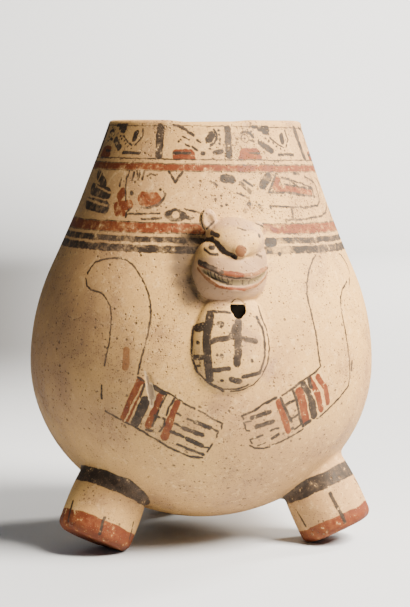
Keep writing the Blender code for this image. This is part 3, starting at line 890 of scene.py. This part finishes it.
headMarks = {
    "dark": [
        (0.8, 210.2, 207.4, 203.6, 211.9, 201, 219.6, 203.4, 228, 204.9, 230.2),
        (1, 214.4, 221.8, 206.4, 229), (2.2, 211.6, 232.4, 217.9, 235.6),
        (1.7, 201, 243.2, 206, 239.4, 212, 239), (2.9, 212, 239.6, 218.4, 244.8, 223.4, 251),
        (1, 204.2, 248.6, 210, 254, 217.8, 254.6), (2.1, 222.4, 250.4, 234.6, 257.4),
        (0.8, 204.6, 265.8, 222.1, 275.2, 234.7, 278.4, 250.2, 278.4),
        (2.2, 199, 261.8, 212, 267.4, 222, 271.4), (0.5, 207.4, 271, 208.6, 275),
        (1.9, 207, 301.6, 221, 305.6), (0.5, 210.2, 272, 211.4, 276.4), (0.55, 215, 274, 216.2, 278),
        (0.55, 218.6, 275.4, 219.8, 279.4), (0.6, 222.2, 276.6, 223, 280),
        (0.5, 227.4, 278.6, 228, 282), (0.45, 232, 279.8, 232.5, 283), (0.4, 243, 281, 243, 285),
        (0.4, 249, 280.6, 249.2, 284), (0.7, 211.6, 277.2, 231.9, 284.9),
        (1.1, 267.4, 267.4, 268.8, 275), (1, 256.5, 255.2, 262, 256.8), (1.9, 259.3, 235.8),
        (0.5, 237.5, 227.4, 246, 230.2), (0.7, 255.8, 223.2, 263.5, 230.9),
        (0.7, 260, 216.1, 264.9, 223.9),
    ],
    "bare": [(4.4, 211.6, 247.2)],
    "over": [(2.3, 210.4, 247.2, 213.4, 247.6)],
    "teeth": [(2.6, 205, 270.4, 216, 278.4, 229, 282.6, 244, 283.2, 257, 279.4, 264, 273)],
    "tan": [
        (5.6, 241.4, 251.2), (1.7, 243, 275, 254, 274, 266.3, 267.6),
        (1.3, 244, 289.6, 254.7, 286, 264.2, 278.4, 268.2, 271),
        (1.2, 197.9, 268, 207, 279, 217, 285.6), (1.4, 200, 297, 209.5, 302, 226, 303),
    ],
    "red": [
        (2.5, 199.5, 263.2, 213, 268.6, 224.9, 272.6, 242, 275.2),
        (1, 216, 285.2, 229.1, 288.8, 244.8, 289.6),
    ],
}
clawMarks = {  # for each front leg, by its number
    1: [(1, 73, 501, 68.6, 521), (1.2, 104.5, 517.5, 99.8, 534), (0.6, 133.3, 522.3, 129.4, 539)],
    2: [(0.9, 354.6, 479.4, 362, 490.4), (1.6, 330, 493, 345, 522.6), (1, 298, 513.3, 305.6, 525.7)],
}


allRound = (-180.0, 180.0)


# Short names for the nodes that the brushes and the slip are made of
def sum1(tree, operation, *values, clamp=False):
    inputs = dict(enumerate(values))
    return addNode(tree, "ShaderNodeMath", inputs, operation=operation, use_clamp=clamp).outputs[0]


def sum3(tree, operation, first, second):
    inputs = {0: first, 3 if operation == "SCALE" else 1: second}
    node = addNode(tree, "ShaderNodeVectorMath", inputs, operation=operation)
    return node.outputs[1 if operation in ("DOT_PRODUCT", "DISTANCE") else 0]


def ramp(tree, value, low, high, start=0.0, end=1.0):
    inputs = {"Value": value, "From Min": low, "From Max": high, "To Min": start, "To Max": end}
    return addNode(tree, "ShaderNodeMapRange", inputs, interpolation_type="SMOOTHSTEP").outputs[0]


def blend(tree, share, below, above):
    inputs = {0: share, 6: below, 7: above}
    return addNode(tree, "ShaderNodeMix", inputs, data_type="RGBA").outputs[2]


def colour(red, green, blue):
    return (red, green, blue, 1.0)


def grouped(tree, group, inputs):
    return addNode(tree, "ShaderNodeGroup", inputs, node_tree=group).outputs


def shaken(tree, flat, place, scale, amount, detail=1.0):
    # Moves a spot on a chart a little, by noise, as an unsteady hand would
    shake = addNode(tree, "ShaderNodeTexNoise", {"Vector": place, "Scale": scale, "Detail": detail})
    centred = sum3(tree, "SUBTRACT", shake.outputs["Color"], (0.5, 0.5, 0.5))
    return sum3(tree, "ADD", flat, sum3(tree, "MULTIPLY", centred, amount))


# Brushes: each measures how far a spot on the paint chart is from one stroke's edge
def brushStrokeTree():
    inputs = {"Chart": "Vector", "Start": "Vector", "Along": "Vector", "Share": "Vector",
              "Half Width": "Float", "Distance": "Float"}
    tree, given, made = newTree("brushStroke", "ShaderNodeTree", inputs, {"Distance": "Float"})
    away = sum3(tree, "SUBTRACT", given["Chart"], given["Start"])
    share = sum1(tree, "ADD", sum3(tree, "DOT_PRODUCT", away, given["Share"]), 0.0, clamp=True)
    reach = sum3(tree, "DISTANCE", away, sum3(tree, "SCALE", given["Along"], share))
    edge = sum1(tree, "SUBTRACT", reach, given["Half Width"])
    tree.links.new(sum1(tree, "MINIMUM", edge, given["Distance"]), made["Distance"])
    return tree


def brushDotTree():
    inputs = {"Chart": "Vector", "Start": "Vector", "Half Width": "Float", "Distance": "Float"}
    tree, given, made = newTree("brushDot", "ShaderNodeTree", inputs, {"Distance": "Float"})
    reach = sum3(tree, "DISTANCE", given["Chart"], given["Start"])
    edge = sum1(tree, "SUBTRACT", reach, given["Half Width"])
    tree.links.new(sum1(tree, "MINIMUM", edge, given["Distance"]), made["Distance"])
    return tree


def paintedRingTree():
    inputs = {"Chart": "Vector", "Low": "Float", "High": "Float", "Distance": "Float"}
    tree, given, made = newTree("paintedRing", "ShaderNodeTree", inputs, {"Distance": "Float"})
    height = addNode(tree, "ShaderNodeSeparateXYZ", {0: given["Chart"]}).outputs["Y"]
    under = sum1(tree, "SUBTRACT", given["Low"], height)
    edge = sum1(tree, "MAXIMUM", under, sum1(tree, "SUBTRACT", height, given["High"]))
    tree.links.new(sum1(tree, "MINIMUM", edge, given["Distance"]), made["Distance"])
    return tree


def jarChartTree():
    # Unrolls the wall: across is the way round the jar or head, up is the height
    inputs = {"Vector": "Vector", "Middle": "Float", "Low": "Float", "High": "Float"}
    tree, given, made = newTree("jarChart", "ShaderNodeTree", inputs, {"Chart": "Vector"})
    upright = addNode(tree, "ShaderNodeMapping", {
        "Vector": given["Vector"], "Rotation": (0.0, -math.radians(jarShape["lean"]), 0.0),
        "Location": tuple(-(leanTurn.transposed() @ axisFoot))}).outputs[0]
    spot = addNode(tree, "ShaderNodeSeparateXYZ", {0: upright}).outputs
    back = sum1(tree, "SUBTRACT", spot["Y"], given["Middle"])
    angle = sum1(tree, "ARCTAN2", spot["X"], sum1(tree, "MULTIPLY", back, -1.0))
    angle = sum1(tree, "WRAP", angle, given["High"], given["Low"])
    squares = sum1(tree, "MULTIPLY_ADD", back, back, sum1(tree, "MULTIPLY", spot["X"], spot["X"]))
    across = sum1(tree, "MULTIPLY", angle, sum1(tree, "SQRT", squares))
    flat = addNode(tree, "ShaderNodeCombineXYZ", {"X": across, "Y": spot["Z"]}).outputs[0]
    for scale, amount in paintPlan["shake"]:
        flat = shaken(tree, flat, given["Vector"], scale, (amount, amount, 0.0))
    tree.links.new(flat, made["Chart"])
    return tree


def chartOf(points, middle, low, high):
    # The same unrolling for measured points
    places = inJarFrame(points)
    back = places[:, 1] - middle
    low, high = math.radians(low), math.radians(high)
    angle = (np.arctan2(places[:, 0], -back) - low) % (high - low) + low
    return np.stack((angle * np.hypot(places[:, 0], back), places[:, 2], 0 * back), axis=1)


def paintLayerTree():
    # Lays one paint over what is below it, thin and flaked where the wear says so
    inputs = {"Below": "Color", "Paint": "Color", "Thin": "Color", "Distance": "Float",
              "Ragged": "Float", "Blotch": "Float", "Wear": "Float"}
    tree, given, made = newTree("paintLayer", "ShaderNodeTree", inputs, {"Colour": "Color"})
    edge = sum1(tree, "MULTIPLY_ADD", given["Ragged"], paintPlan["ragged"], given["Distance"])
    cover = sum1(tree, "MULTIPLY_ADD", edge, -1.0 / paintPlan["softEdge"], 0.5, clamp=True)
    mask = sum1(tree, "MULTIPLY", cover, sum1(tree, "SUBTRACT", 1.0, given["Wear"], clamp=True))
    paint = blend(tree, given["Blotch"], given["Paint"], given["Thin"])
    tree.links.new(blend(tree, mask, given["Below"], paint), made["Colour"])
    return tree


paintPlan = {
    "pixel": 0.00068,  # size on the clay of one pixel of the photograph
    "ragged": 0.0013,
    "softEdge": 0.0006,
    "dark": colour(0.028, 0.019, 0.013),
    "darkThin": colour(0.110, 0.073, 0.047),
    "red": colour(0.125, 0.029, 0.010),
    "redThin": colour(0.235, 0.078, 0.026),
    "tan": colour(0.175, 0.070, 0.026),
    "tanThin": colour(0.26, 0.120, 0.046),
    "teeth": colour(0.20, 0.138, 0.062),
    "flakeRim": colour(0.54, 0.37, 0.20),
    "flake": colour(0.22, 0.15, 0.09),
    "swell": 0.3,  # pixels added to half of every brush stroke's width
    "shake": ((70.0, 0.0015), (330.0, 0.0012)),
    "leastReach": 0.003,  # strokes this near a region's window count as in it
    "rub": 2.8,
}
slipPlan = {
    "light": colour(0.56, 0.335, 0.110),
    "mid": colour(0.42, 0.243, 0.098),
    "stain": colour(0.265, 0.152, 0.078),
    "pale": colour(0.68, 0.45, 0.20),
    "pit": colour(0.10, 0.065, 0.04),
    "bareClay": colour(0.36, 0.215, 0.115),
    # The cloud is a darker patch on the left side: partly a fire cloud and partly painted shade on the
    # side turned from the light.
    "cloud": (-0.128, -0.030, 0.125),  # middle of the darker cloud fired into the left side
    "cloudAndShadeReach": (0.03, 0.13),
    # Pixels beside the head, on the wall to its left: a painted shadow of the head, with some soot.
    "sootAndShade": [(187, 243), (182, 256), (181, 268), (184, 281), (190, 294)],  # pixels beside the head
    "sootAndShadeReach": (0.003, 0.013),
    "pits": ((150.0, 0.20, 0.26), (330.0, 0.28, 0.34), (760.0, 0.32, 0.34)),  # scale, size, crowd
    "roughness": (0.52, 0.80),
    "sheen": 0.22,
    "bump": 0.0005,
}


def noise(tree, place, scale, detail, rough):
    inputs = {"Vector": place, "Scale": scale, "Detail": detail, "Roughness": rough}
    return addNode(tree, "ShaderNodeTexNoise", inputs).outputs[0]


def firedSlipTree():
    inputs = {"Vector": "Vector", "Pits": "Float", "Bare": "Float"}
    outputs = {"Colour": "Color", "Roughness": "Float", "Height": "Float", "Ragged": "Float",
               "Blotch": "Float", "Wear": "Float"}
    tree, given, made = newTree("firedSlip", "ShaderNodeTree", inputs, outputs)
    place = given["Vector"]
    cloud = noise(tree, place, 8.0, 3.0, 0.5)
    mottle = noise(tree, place, 34.0, 5.0, 0.62)
    grain = noise(tree, place, 190.0, 5.0, 0.68)
    fine = noise(tree, place, 900.0, 2.0, 0.6)
    shade = slipPlan["light"]
    for value, low, high, most, tint in (
            (cloud, 0.36, 0.62, 1.0, "mid"), (mottle, 0.50, 0.74, 0.7, "stain"),
            (grain, 0.50, 0.70, 0.6, "pale"), (fine, 0.48, 0.72, 0.6, "stain")):
        shade = blend(tree, ramp(tree, value, low, high, 0.0, most), shade, slipPlan[tint])
    # Darker on the left side: a fire cloud and painted shade.
    away = sum3(tree, "DISTANCE", place, slipPlan["cloud"])
    smokeAndShade = sum1(tree, "MULTIPLY", ramp(tree, away, *slipPlan["cloudAndShadeReach"], 0.85, 0.0),
                 ramp(tree, mottle, 0.30, 0.66, 0.45, 1.0))
    shade = blend(tree, smokeAndShade, shade, slipPlan["stain"])
    # Darker beside the head: the head's shadow painted on the wall, with some soot.
    sootAndShade = 1.0
    for spot in onClay(slipPlan["sootAndShade"]):
        sootAndShade = sum1(tree, "MINIMUM", sootAndShade, sum3(tree, "DISTANCE", place, spot))
    shade = blend(tree, ramp(tree, sootAndShade, *slipPlan["sootAndShadeReach"], 0.9, 0.0), shade, slipPlan["pit"])
    total = 0.0
    for scale, reach, crowd in slipPlan["pits"]:
        cells = addNode(tree, "ShaderNodeTexVoronoi", {"Vector": place, "Scale": scale})
        chance = addNode(tree, "ShaderNodeSeparateColor", {0: cells.outputs["Color"]}).outputs[0]
        dense = ramp(tree, mottle, 0.40, 0.66, 0.25 * crowd, 1.9 * crowd)
        chosen = sum1(tree, "LESS_THAN", chance, sum1(tree, "MULTIPLY", given["Pits"], dense))
        dip = ramp(tree, cells.outputs["Distance"], 0.4 * reach, reach, 1.0, 0.0)
        total = sum1(tree, "MAXIMUM", total, sum1(tree, "MULTIPLY", chosen, dip))
    shade = blend(tree, sum1(tree, "MULTIPLY", total, 0.85), shade, slipPlan["pit"])
    bare = sum1(tree, "MULTIPLY_ADD", mottle, 0.8, sum1(tree, "SUBTRACT", given["Bare"], 0.4))
    shade = blend(tree, ramp(tree, bare, 0.42, 0.58), shade, slipPlan["bareClay"])
    tree.links.new(shade, made["Colour"])
    tree.links.new(ramp(tree, grain, 0.3, 0.7, *slipPlan["roughness"]), made["Roughness"])
    relief = sum1(tree, "MULTIPLY_ADD", grain, 0.35, sum1(tree, "MULTIPLY", total, -1.0))
    tree.links.new(sum1(tree, "MULTIPLY_ADD", cloud, 2.0, relief), made["Height"])
    tree.links.new(sum1(tree, "SUBTRACT", grain, 0.5), made["Ragged"])
    blotch = sum1(tree, "MULTIPLY_ADD", grain, 0.5, sum1(tree, "MULTIPLY", mottle, 0.5))
    tree.links.new(ramp(tree, blotch, 0.42, 0.66), made["Blotch"])
    flaked = sum1(tree, "MAXIMUM", ramp(tree, grain, 0.60, 0.70), ramp(tree, fine, 0.66, 0.76, 0.0, 0.7))
    tree.links.new(sum1(tree, "MAXIMUM", flaked, sum1(tree, "MULTIPLY", total, 0.6)), made["Wear"])
    return tree


brushStroke, brushDot, paintedRing = brushStrokeTree(), brushDotTree(), paintedRingTree()
jarChart, paintLayer, firedSlip = jarChartTree(), paintLayerTree(), firedSlipTree()


def brushed(tree, chart, runs, place, start=1.0, window=None):
    # One node for each stroke or dot near the window, each keeping the nearest distance so far
    distance = start
    pixels = [pixel for width, *run in runs for pixel in zip(run[::2], run[1::2])]
    spots = iter(place(onClay(pixels)) if pixels else ())
    for width, *run in runs:
        ends = [next(spots) for across in run[::2]]
        half = (width + paintPlan["swell"]) * paintPlan["pixel"]
        if window and len(ends) > 1:
            ends = [end for spot, end in enumerate(ends) if any(
                window(near, half) for near in ends[max(spot - 1, 0):spot + 2])]
        elif window and not window(ends[0], half):
            continue
        if len(run) == 2:
            distance = grouped(tree, brushDot, {
                "Chart": chart, "Start": ends[0], "Half Width": half, "Distance": distance})[0]
        for first, second in zip(ends, ends[1:]):
            along = second - first
            distance = grouped(tree, brushStroke, {
                "Chart": chart, "Start": first, "Along": along, "Share": along / (along @ along),
                "Half Width": half, "Distance": distance})[0]
    return distance


def ringed(tree, chart, rings, distance):
    for low, high in rings:
        inputs = {"Chart": chart, "Low": low, "High": high, "Distance": distance}
        distance = grouped(tree, paintedRing, inputs)[0]
    return distance


def layPaint(tree, slip, below, paint, reach, wear):
    # One more paint over the colour below, within reach of its strokes
    named = "dark" if paint == "over" else paint
    return grouped(tree, paintLayer, {
        "Below": below, "Paint": paintPlan[named], "Distance": reach, "Wear": wear,
        "Thin": paintPlan.get(named + "Thin", paintPlan[named]),
        "Ragged": slip["Ragged"], "Blotch": slip["Blotch"]})["Colour"]


def clayMaterial(name, marks=None, rings=None, pits=1.0, bare=0.0, middle=0.0, window=None):
    # The slip, then each paint over it from its own list of strokes
    marks, rings = marks or {}, rings or {}
    material = bpy.data.materials.new(name)
    material.use_nodes = True
    tree = material.node_tree
    shader = tree.nodes["Principled BSDF"]
    shader.inputs["Specular IOR Level"].default_value = slipPlan["sheen"]
    place = addNode(tree, "ShaderNodeTexCoord").outputs["Object"]
    low, high = marks.get("wrap", allRound)
    chart = grouped(tree, jarChart, {"Vector": place, "Middle": middle, "Low": math.radians(low),
                                     "High": math.radians(high)})["Chart"]
    slip = grouped(tree, firedSlip, {"Vector": place, "Pits": pits, "Bare": bare})
    shade = slip["Colour"]

    def onChart(points):
        return chartOf(points, middle, low, high)

    def near(spot, half):
        # Whether a spot of the chart is within reach of this region's window
        left, right, foot, top = window
        around = spot[0] / wallRadius(max(spot[1] - bellyHeight, 0.0))
        reach = half + paintPlan["leastReach"]
        turn = 12 * reach  # the same reach as an angle, where the neck is narrow
        return left - turn < around < right + turn and foot - reach < spot[1] < top + reach

    near = near if window else None
    worn = slip["Wear"]
    if marks.get("rubbed"):
        rubbed = brushed(tree, chart, marks["rubbed"], onChart, 1.0, near)
        share = ramp(tree, rubbed, -0.004, 0.001, 0.72, 0.0)
        share = sum1(tree, "MULTIPLY_ADD", slip["Ragged"], paintPlan["rub"], share)
        worn = sum1(tree, "MAXIMUM", worn, sum1(tree, "ADD", share, 0.0, clamp=True))
    bareReach = brushed(tree, chart, marks.get("bare", ()), onChart, 1.0, near)
    for paint in ("teeth", "tan", "red", "dark", "over", "flakeRim", "flake"):
        if not marks.get(paint) and not rings.get(paint):
            continue
        reach = brushed(tree, chart, marks.get(paint, ()), onChart, 1.0, near)
        reach = ringed(tree, chart, rings.get(paint, ()), reach)
        if not isinstance(reach, bpy.types.NodeSocket):
            continue
        if isinstance(bareReach, bpy.types.NodeSocket) and paint in ("red", "dark"):
            reach = sum1(tree, "MAXIMUM", reach, sum1(tree, "MULTIPLY", bareReach, -1.0))
        shade = layPaint(tree, slip, shade, paint, reach, slip["Wear"] if paint == "over" else worn)
    tree.links.new(shade, shader.inputs["Base Color"])
    tree.links.new(slip["Roughness"], shader.inputs["Roughness"])
    bump = addNode(tree, "ShaderNodeBump", {"Height": slip["Height"], "Distance": slipPlan["bump"]})
    tree.links.new(bump.outputs[0], shader.inputs["Normal"])
    return material


legPaint = {
    "collar": (-0.004, 0.0075),  # least and greatest distance down the leg
    "toes": (0.0285, 0.08),
    "wornTip": (0.042, 0.056),
    "tipWear": 0.7,
    "wear": 1.1,
    "pits": 0.8,
    "offLeg": 0.0028,  # how far the collar spreads onto the belly
    "shake": (90.0, (0.002, 0.003, 0.0), 2.0),
    "apart": 0.5,  # how far apart the legs' charts lie
}


def legMaterial(name):
    # Slip with a dark collar, red toes and claw lines, laid out along each leg's own length
    material = clayMaterial(name, pits=legPaint["pits"])
    tree = material.node_tree
    shader = tree.nodes["Principled BSDF"]
    groups = [node for node in tree.nodes if node.type == "GROUP"]
    slip = next(node for node in groups if node.node_tree == firedSlip).outputs
    chart = addNode(tree, "ShaderNodeAttribute", attribute_name="legChart").outputs["Vector"]
    place = addNode(tree, "ShaderNodeTexCoord").outputs["Object"]
    chart = shaken(tree, chart, place, *legPaint["shake"])
    claws = 1.0
    for number, runs in clawMarks.items():
        # The hidden back leg, 0, copies the left leg's claws
        for owner in ((number, 0) if number == 1 else (number,)):
            claws = brushed(tree, chart, runs, lambda points: legChartOf(points, number, owner), claws)
    spot = addNode(tree, "ShaderNodeSeparateXYZ", {0: chart}).outputs
    off = sum1(tree, "SUBTRACT", spot["Z"], legPaint["offLeg"])
    collar = sum1(tree, "MAXIMUM", ringed(tree, chart, [legPaint["collar"]], 1.0), off)
    tip = ramp(tree, spot["Y"], *legPaint["wornTip"])
    worn = sum1(tree, "MULTIPLY", slip["Wear"], legPaint["wear"])
    worn = sum1(tree, "MULTIPLY_ADD", tip, legPaint["tipWear"], worn, clamp=True)
    shade = slip["Colour"]
    toes = ringed(tree, chart, [legPaint["toes"]], 1.0)
    for paint, reach in (("red", toes), ("dark", collar), ("dark", claws)):
        shade = layPaint(tree, slip, shade, paint, reach, worn)
    tree.links.new(shade, shader.inputs["Base Color"])
    return material


def legChartOf(points, number, owner):
    # Round the leg and down it; each leg has its own stretch of the chart
    depth, out, around = legSpot(points, number)
    off = out - legRadiusAt(depth, legs[number][3])
    return np.stack((around * legShape["radius"] + legPaint["apart"] * owner, depth, off), axis=1)


vessel = roughForm(plainMaterial("rawClay", (0.5, 0.5, 0.5)))
print("rough form:", len(vessel.data.polygons), "faces")
refine(vessel.data)
settle(vessel.data)
vessel.data.shade_smooth()
vessel.data.calc_loop_triangles()
print("settled form:", len(vessel.data.polygons), "faces,", len(vessel.data.loop_triangles), "triangles")

# Windows on the chart: least and greatest angle from the front, then least and greatest
# height; 9 stands for any angle
regionPlan = {
    "slip": {},
    "rimPaint": {"marks": rimFrieze, "rings": neckRings, "pits": 1.7,
                 "window": (-0.75, 0.88, 0.270, 0.31)},
    "neckLeftPaint": {"marks": neckFrieze, "rings": neckRings, "pits": 1.3,
                      "window": (-1.77, -0.24, 0.2095, 0.270)},
    "neckRightPaint": {"marks": neckFrieze, "rings": neckRings, "pits": 2.0,
                       "window": (-0.24, 1.4, 0.2095, 0.270)},
    "leftArmPaint": {"marks": leftArm, "window": (-1.9, -0.02, 0.130, 0.2095), "pits": 1.4},
    "leftHandPaint": {"marks": leftArm, "window": (-1.9, -0.02, 0.0, 0.130)},
    "rightArmPaint": {"marks": rightArm, "window": (-0.02, 1.9, 0.130, 0.2095)},
    "rightHandPaint": {"marks": rightArm, "window": (-0.02, 1.9, 0.0, 0.130)},
    "lobePaint": {"marks": lobeMarks, "bare": 0.42},
    "headTopPaint": {"marks": headMarks, "middle": float(headMiddle[1]), "bare": 0.50,
                     "window": (-9.0, 9.0, 0.2105, 0.31)},
    # The mouth and jaw take more bare clay than the head's top, so the head is darker below: partly bare
    # clay and partly painted shade under the jaw.
    "headMouthPaint": {"marks": headMarks, "middle": float(headMiddle[1]), "bare": 0.58,
                       "window": (-9.0, 9.0, 0.0, 0.2105)},
    "legPaint": None,
    "insideClay": {"bare": 0.6, "pits": 0.6},
}
# How far each region reaches off its own form
regionReach = {
    "leg": 0.0045,
    "lobe": 0.0045,
    "head": 0.0008,
    "headOnLobe": 0.0006,
    "inside": 0.0025,
    "vent": 0.0009,
    "ventSkin": 0.0004,
}


def dressRegions(mesh):
    # Which paint each face takes, by where its middle is
    middles = readPoints(mesh.polygons, "center")
    places = inJarFrame(middles)
    angle = np.arctan2(places[:, 0], -places[:, 1])
    head, lobe, leg, inside = regionDistances(middles)
    height = places[:, 2]
    names = list(regionPlan)
    chosen = np.zeros(len(middles), dtype=np.int32)
    for name, plan in regionPlan.items():
        if plan and "window" in plan and "middle" not in plan:
            left, right, foot, top = plan["window"]
            low, high = np.radians(plan["marks"].get("wrap", allRound))
            around = (angle - low) % (high - low) + low
            within = (around >= left) & (around < right) & (height >= foot) & (height < top)
            chosen[within] = names.index(name)
    reach = regionReach
    chosen[leg < reach["leg"]] = names.index("legPaint")
    chosen[(lobe < reach["lobe"]) & (head > reach["headOnLobe"])] = names.index("lobePaint")
    split = regionPlan["headTopPaint"]["window"][2]
    chosen[(head < reach["head"]) & (height >= split)] = names.index("headTopPaint")
    chosen[(head < reach["head"]) & (height < split)] = names.index("headMouthPaint")
    chosen[inside > -reach["inside"]] = names.index("insideClay")
    skin = softUnion(wallDistance(places), head, headShape["join"])
    skin = softUnion(skin, lobe, lobeShape["join"])
    within = (ventDistance(places) < reach["vent"]) & (skin < -reach["ventSkin"])
    chosen[within & (inside < -reach["inside"])] = len(names)
    mesh.materials.clear()
    for name, plan in regionPlan.items():
        mesh.materials.append(legMaterial(name) if plan is None else clayMaterial(name, **plan))
    # The vent's walls are painted near black: painted shade for the dark inside the hole.
    sootAndShade = plainMaterial("ventShade", (0.003, 0.0025, 0.002))
    sootAndShade.node_tree.nodes["Principled BSDF"].inputs["Specular IOR Level"].default_value = 0.0
    mesh.materials.append(sootAndShade)
    mesh.polygons.foreach_set("material_index", chosen)


def chartLegs(mesh):
    # Leaves each point's place on its nearest leg for the leg paint to read
    points = readPoints(mesh.vertices, "co")
    distances = [legDistance(points, number) for number in range(legShape["count"])]
    nearest = np.argmin(distances, axis=0)
    chart = np.zeros_like(points)
    for number in range(legShape["count"]):
        own = nearest == number
        chart[own] = legChartOf(points[own], number, number)
    stored = mesh.attributes.new("legChart", "FLOAT_VECTOR", "POINT")
    stored.data.foreach_set("vector", chart.ravel())


chartLegs(vessel.data)
dressRegions(vessel.data)
print("painted regions:", len(regionPlan))

lightPlan = {
    "key": {"place": (0.97, -0.93, 1.50), "aim": (0.0, 0.0, 0.14), "size": 0.9, "power": 252.0},
    "fill": {"place": (-1.5, -1.6, 0.9), "aim": (0.0, 0.0, 0.14), "size": 1.4, "power": 0.8},
    "backdrop": {"place": (2.6, 1.4, 2.2), "aim": (0.4, 4.6, 0.9), "size": 1.6, "power": 760.0},
    "colour": (1.0, 0.89, 0.74),
    "room": colour(0.64, 0.83, 1.0),
    "roomStrength": 0.09,
}


def lightUp():
    for name in ("key", "fill", "backdrop"):
        plan = lightPlan[name]
        data = bpy.data.lights.new(name, "AREA")
        data.size = plan["size"]
        data.energy = plan["power"]
        data.color = lightPlan["colour"]
        light = bpy.data.objects.new(name, data)
        light.location = plan["place"]
        aim = Vector(plan["aim"]) - Vector(plan["place"])
        light.rotation_euler = aim.to_track_quat("-Z", "Y").to_euler()
        bpy.context.scene.collection.objects.link(light)
    world = bpy.data.worlds.new("softRoom")
    world.use_nodes = True
    room = world.node_tree.nodes["Background"]
    room.inputs["Color"].default_value = lightPlan["room"]
    room.inputs["Strength"].default_value = lightPlan["roomStrength"]
    bpy.context.scene.world = world


lightUp()

# The floor's colours paint its light: a pale pool of light round the jar and in view, painted dim floor
# beyond, and a painted shadow of the jar behind it to the left.
floorPlan = {
    "pale": colour(0.50, 0.54, 0.605),
    "paintedDim": colour(0.06, 0.062, 0.067),
    "paintedPool": (0.30, 0.80),  # the pale part ends between these distances from the jar
    "sight": (0.13, 0.27),  # and between these angles off the photograph's middle
    "shade": 0.97,
    "shadeStart": (0.3, 1.3),  # how far behind the jar the shading comes in and ends
    "shadeEnd": (2.6, 4.4),
    "shadeAside": (-0.13, 0.03),
    "halfWidth": 6.0,
    "front": -6.0,
    "back": 3.2,
    "curve": 1.4,
    "curveSteps": 16,
    "top": 5.0,
}


def sweepMaterial():
    # Painted light: a pale pool where the photograph looks and round the jar, painted dim beyond, and a
    # painted shadow behind the jar on the left
    material = plainMaterial("paleSweep", (0.5, 0.5, 0.5))
    tree = material.node_tree
    place = addNode(tree, "ShaderNodeTexCoord").outputs["Object"]
    spot = addNode(tree, "ShaderNodeSeparateXYZ", {0: place}).outputs
    start, turn = cameraPlace()
    away = [sum1(tree, "SUBTRACT", spot[axis], start[at]) for at, axis in enumerate("XY")]
    aside = sum1(tree, "ADD", sum1(tree, "ARCTAN2", *away), turn.z)
    sight = ramp(tree, sum1(tree, "ABSOLUTE", aside), *floorPlan["sight"], 1.0, 0.0)
    reach = sum3(tree, "DISTANCE", place, (0.0, 0.0, 0.0))
    pale = sum1(tree, "MAXIMUM", sight, ramp(tree, reach, *floorPlan["paintedPool"], 1.0, 0.0))
    # A painted shadow of the jar, behind it and to the left.
    back = sum1(tree, "MULTIPLY", ramp(tree, spot["Y"], *floorPlan["shadeStart"]),
                ramp(tree, spot["Y"], *floorPlan["shadeEnd"], 1.0, 0.0))
    shadowAside = ramp(tree, aside, *floorPlan["shadeAside"], floorPlan["shade"], 0.0)
    paintedShadow = sum1(tree, "MULTIPLY", back, shadowAside)
    pale = sum1(tree, "MULTIPLY", pale, sum1(tree, "SUBTRACT", 1.0, paintedShadow))
    shade = blend(tree, pale, floorPlan["paintedDim"], floorPlan["pale"])
    tree.links.new(shade, tree.nodes["Principled BSDF"].inputs["Base Color"])
    return material


def sweep():
    # A pale floor that curves up into a pale backdrop, far enough off to view the jar all round
    back, curve, steps = floorPlan["back"], floorPlan["curve"], floorPlan["curveSteps"]
    profile = [(floorPlan["front"], 0.0), (back, 0.0)]
    for step in range(1, steps + 1):
        angle = math.radians(90) * step / steps
        profile.append((back + curve * math.sin(angle), curve * (1 - math.cos(angle))))
    profile.append((back + curve, floorPlan["top"]))
    form = bmesh.new()
    rows = []
    for across in (-floorPlan["halfWidth"], floorPlan["halfWidth"]):
        rows.append([form.verts.new((across, back, height)) for back, height in profile])
    for left, right in zip(zip(rows[0], rows[0][1:]), zip(rows[1], rows[1][1:])):
        form.faces.new((left[0], right[0], right[1], left[1]))
    mesh = bpy.data.meshes.new("sweep")
    form.to_mesh(mesh)
    form.free()
    mesh.shade_smooth()
    mesh.materials.append(sweepMaterial())
    stand = bpy.data.objects.new("sweep", mesh)
    bpy.context.scene.collection.objects.link(stand)


sweep()

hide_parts("vessel")
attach(vessel, "root")
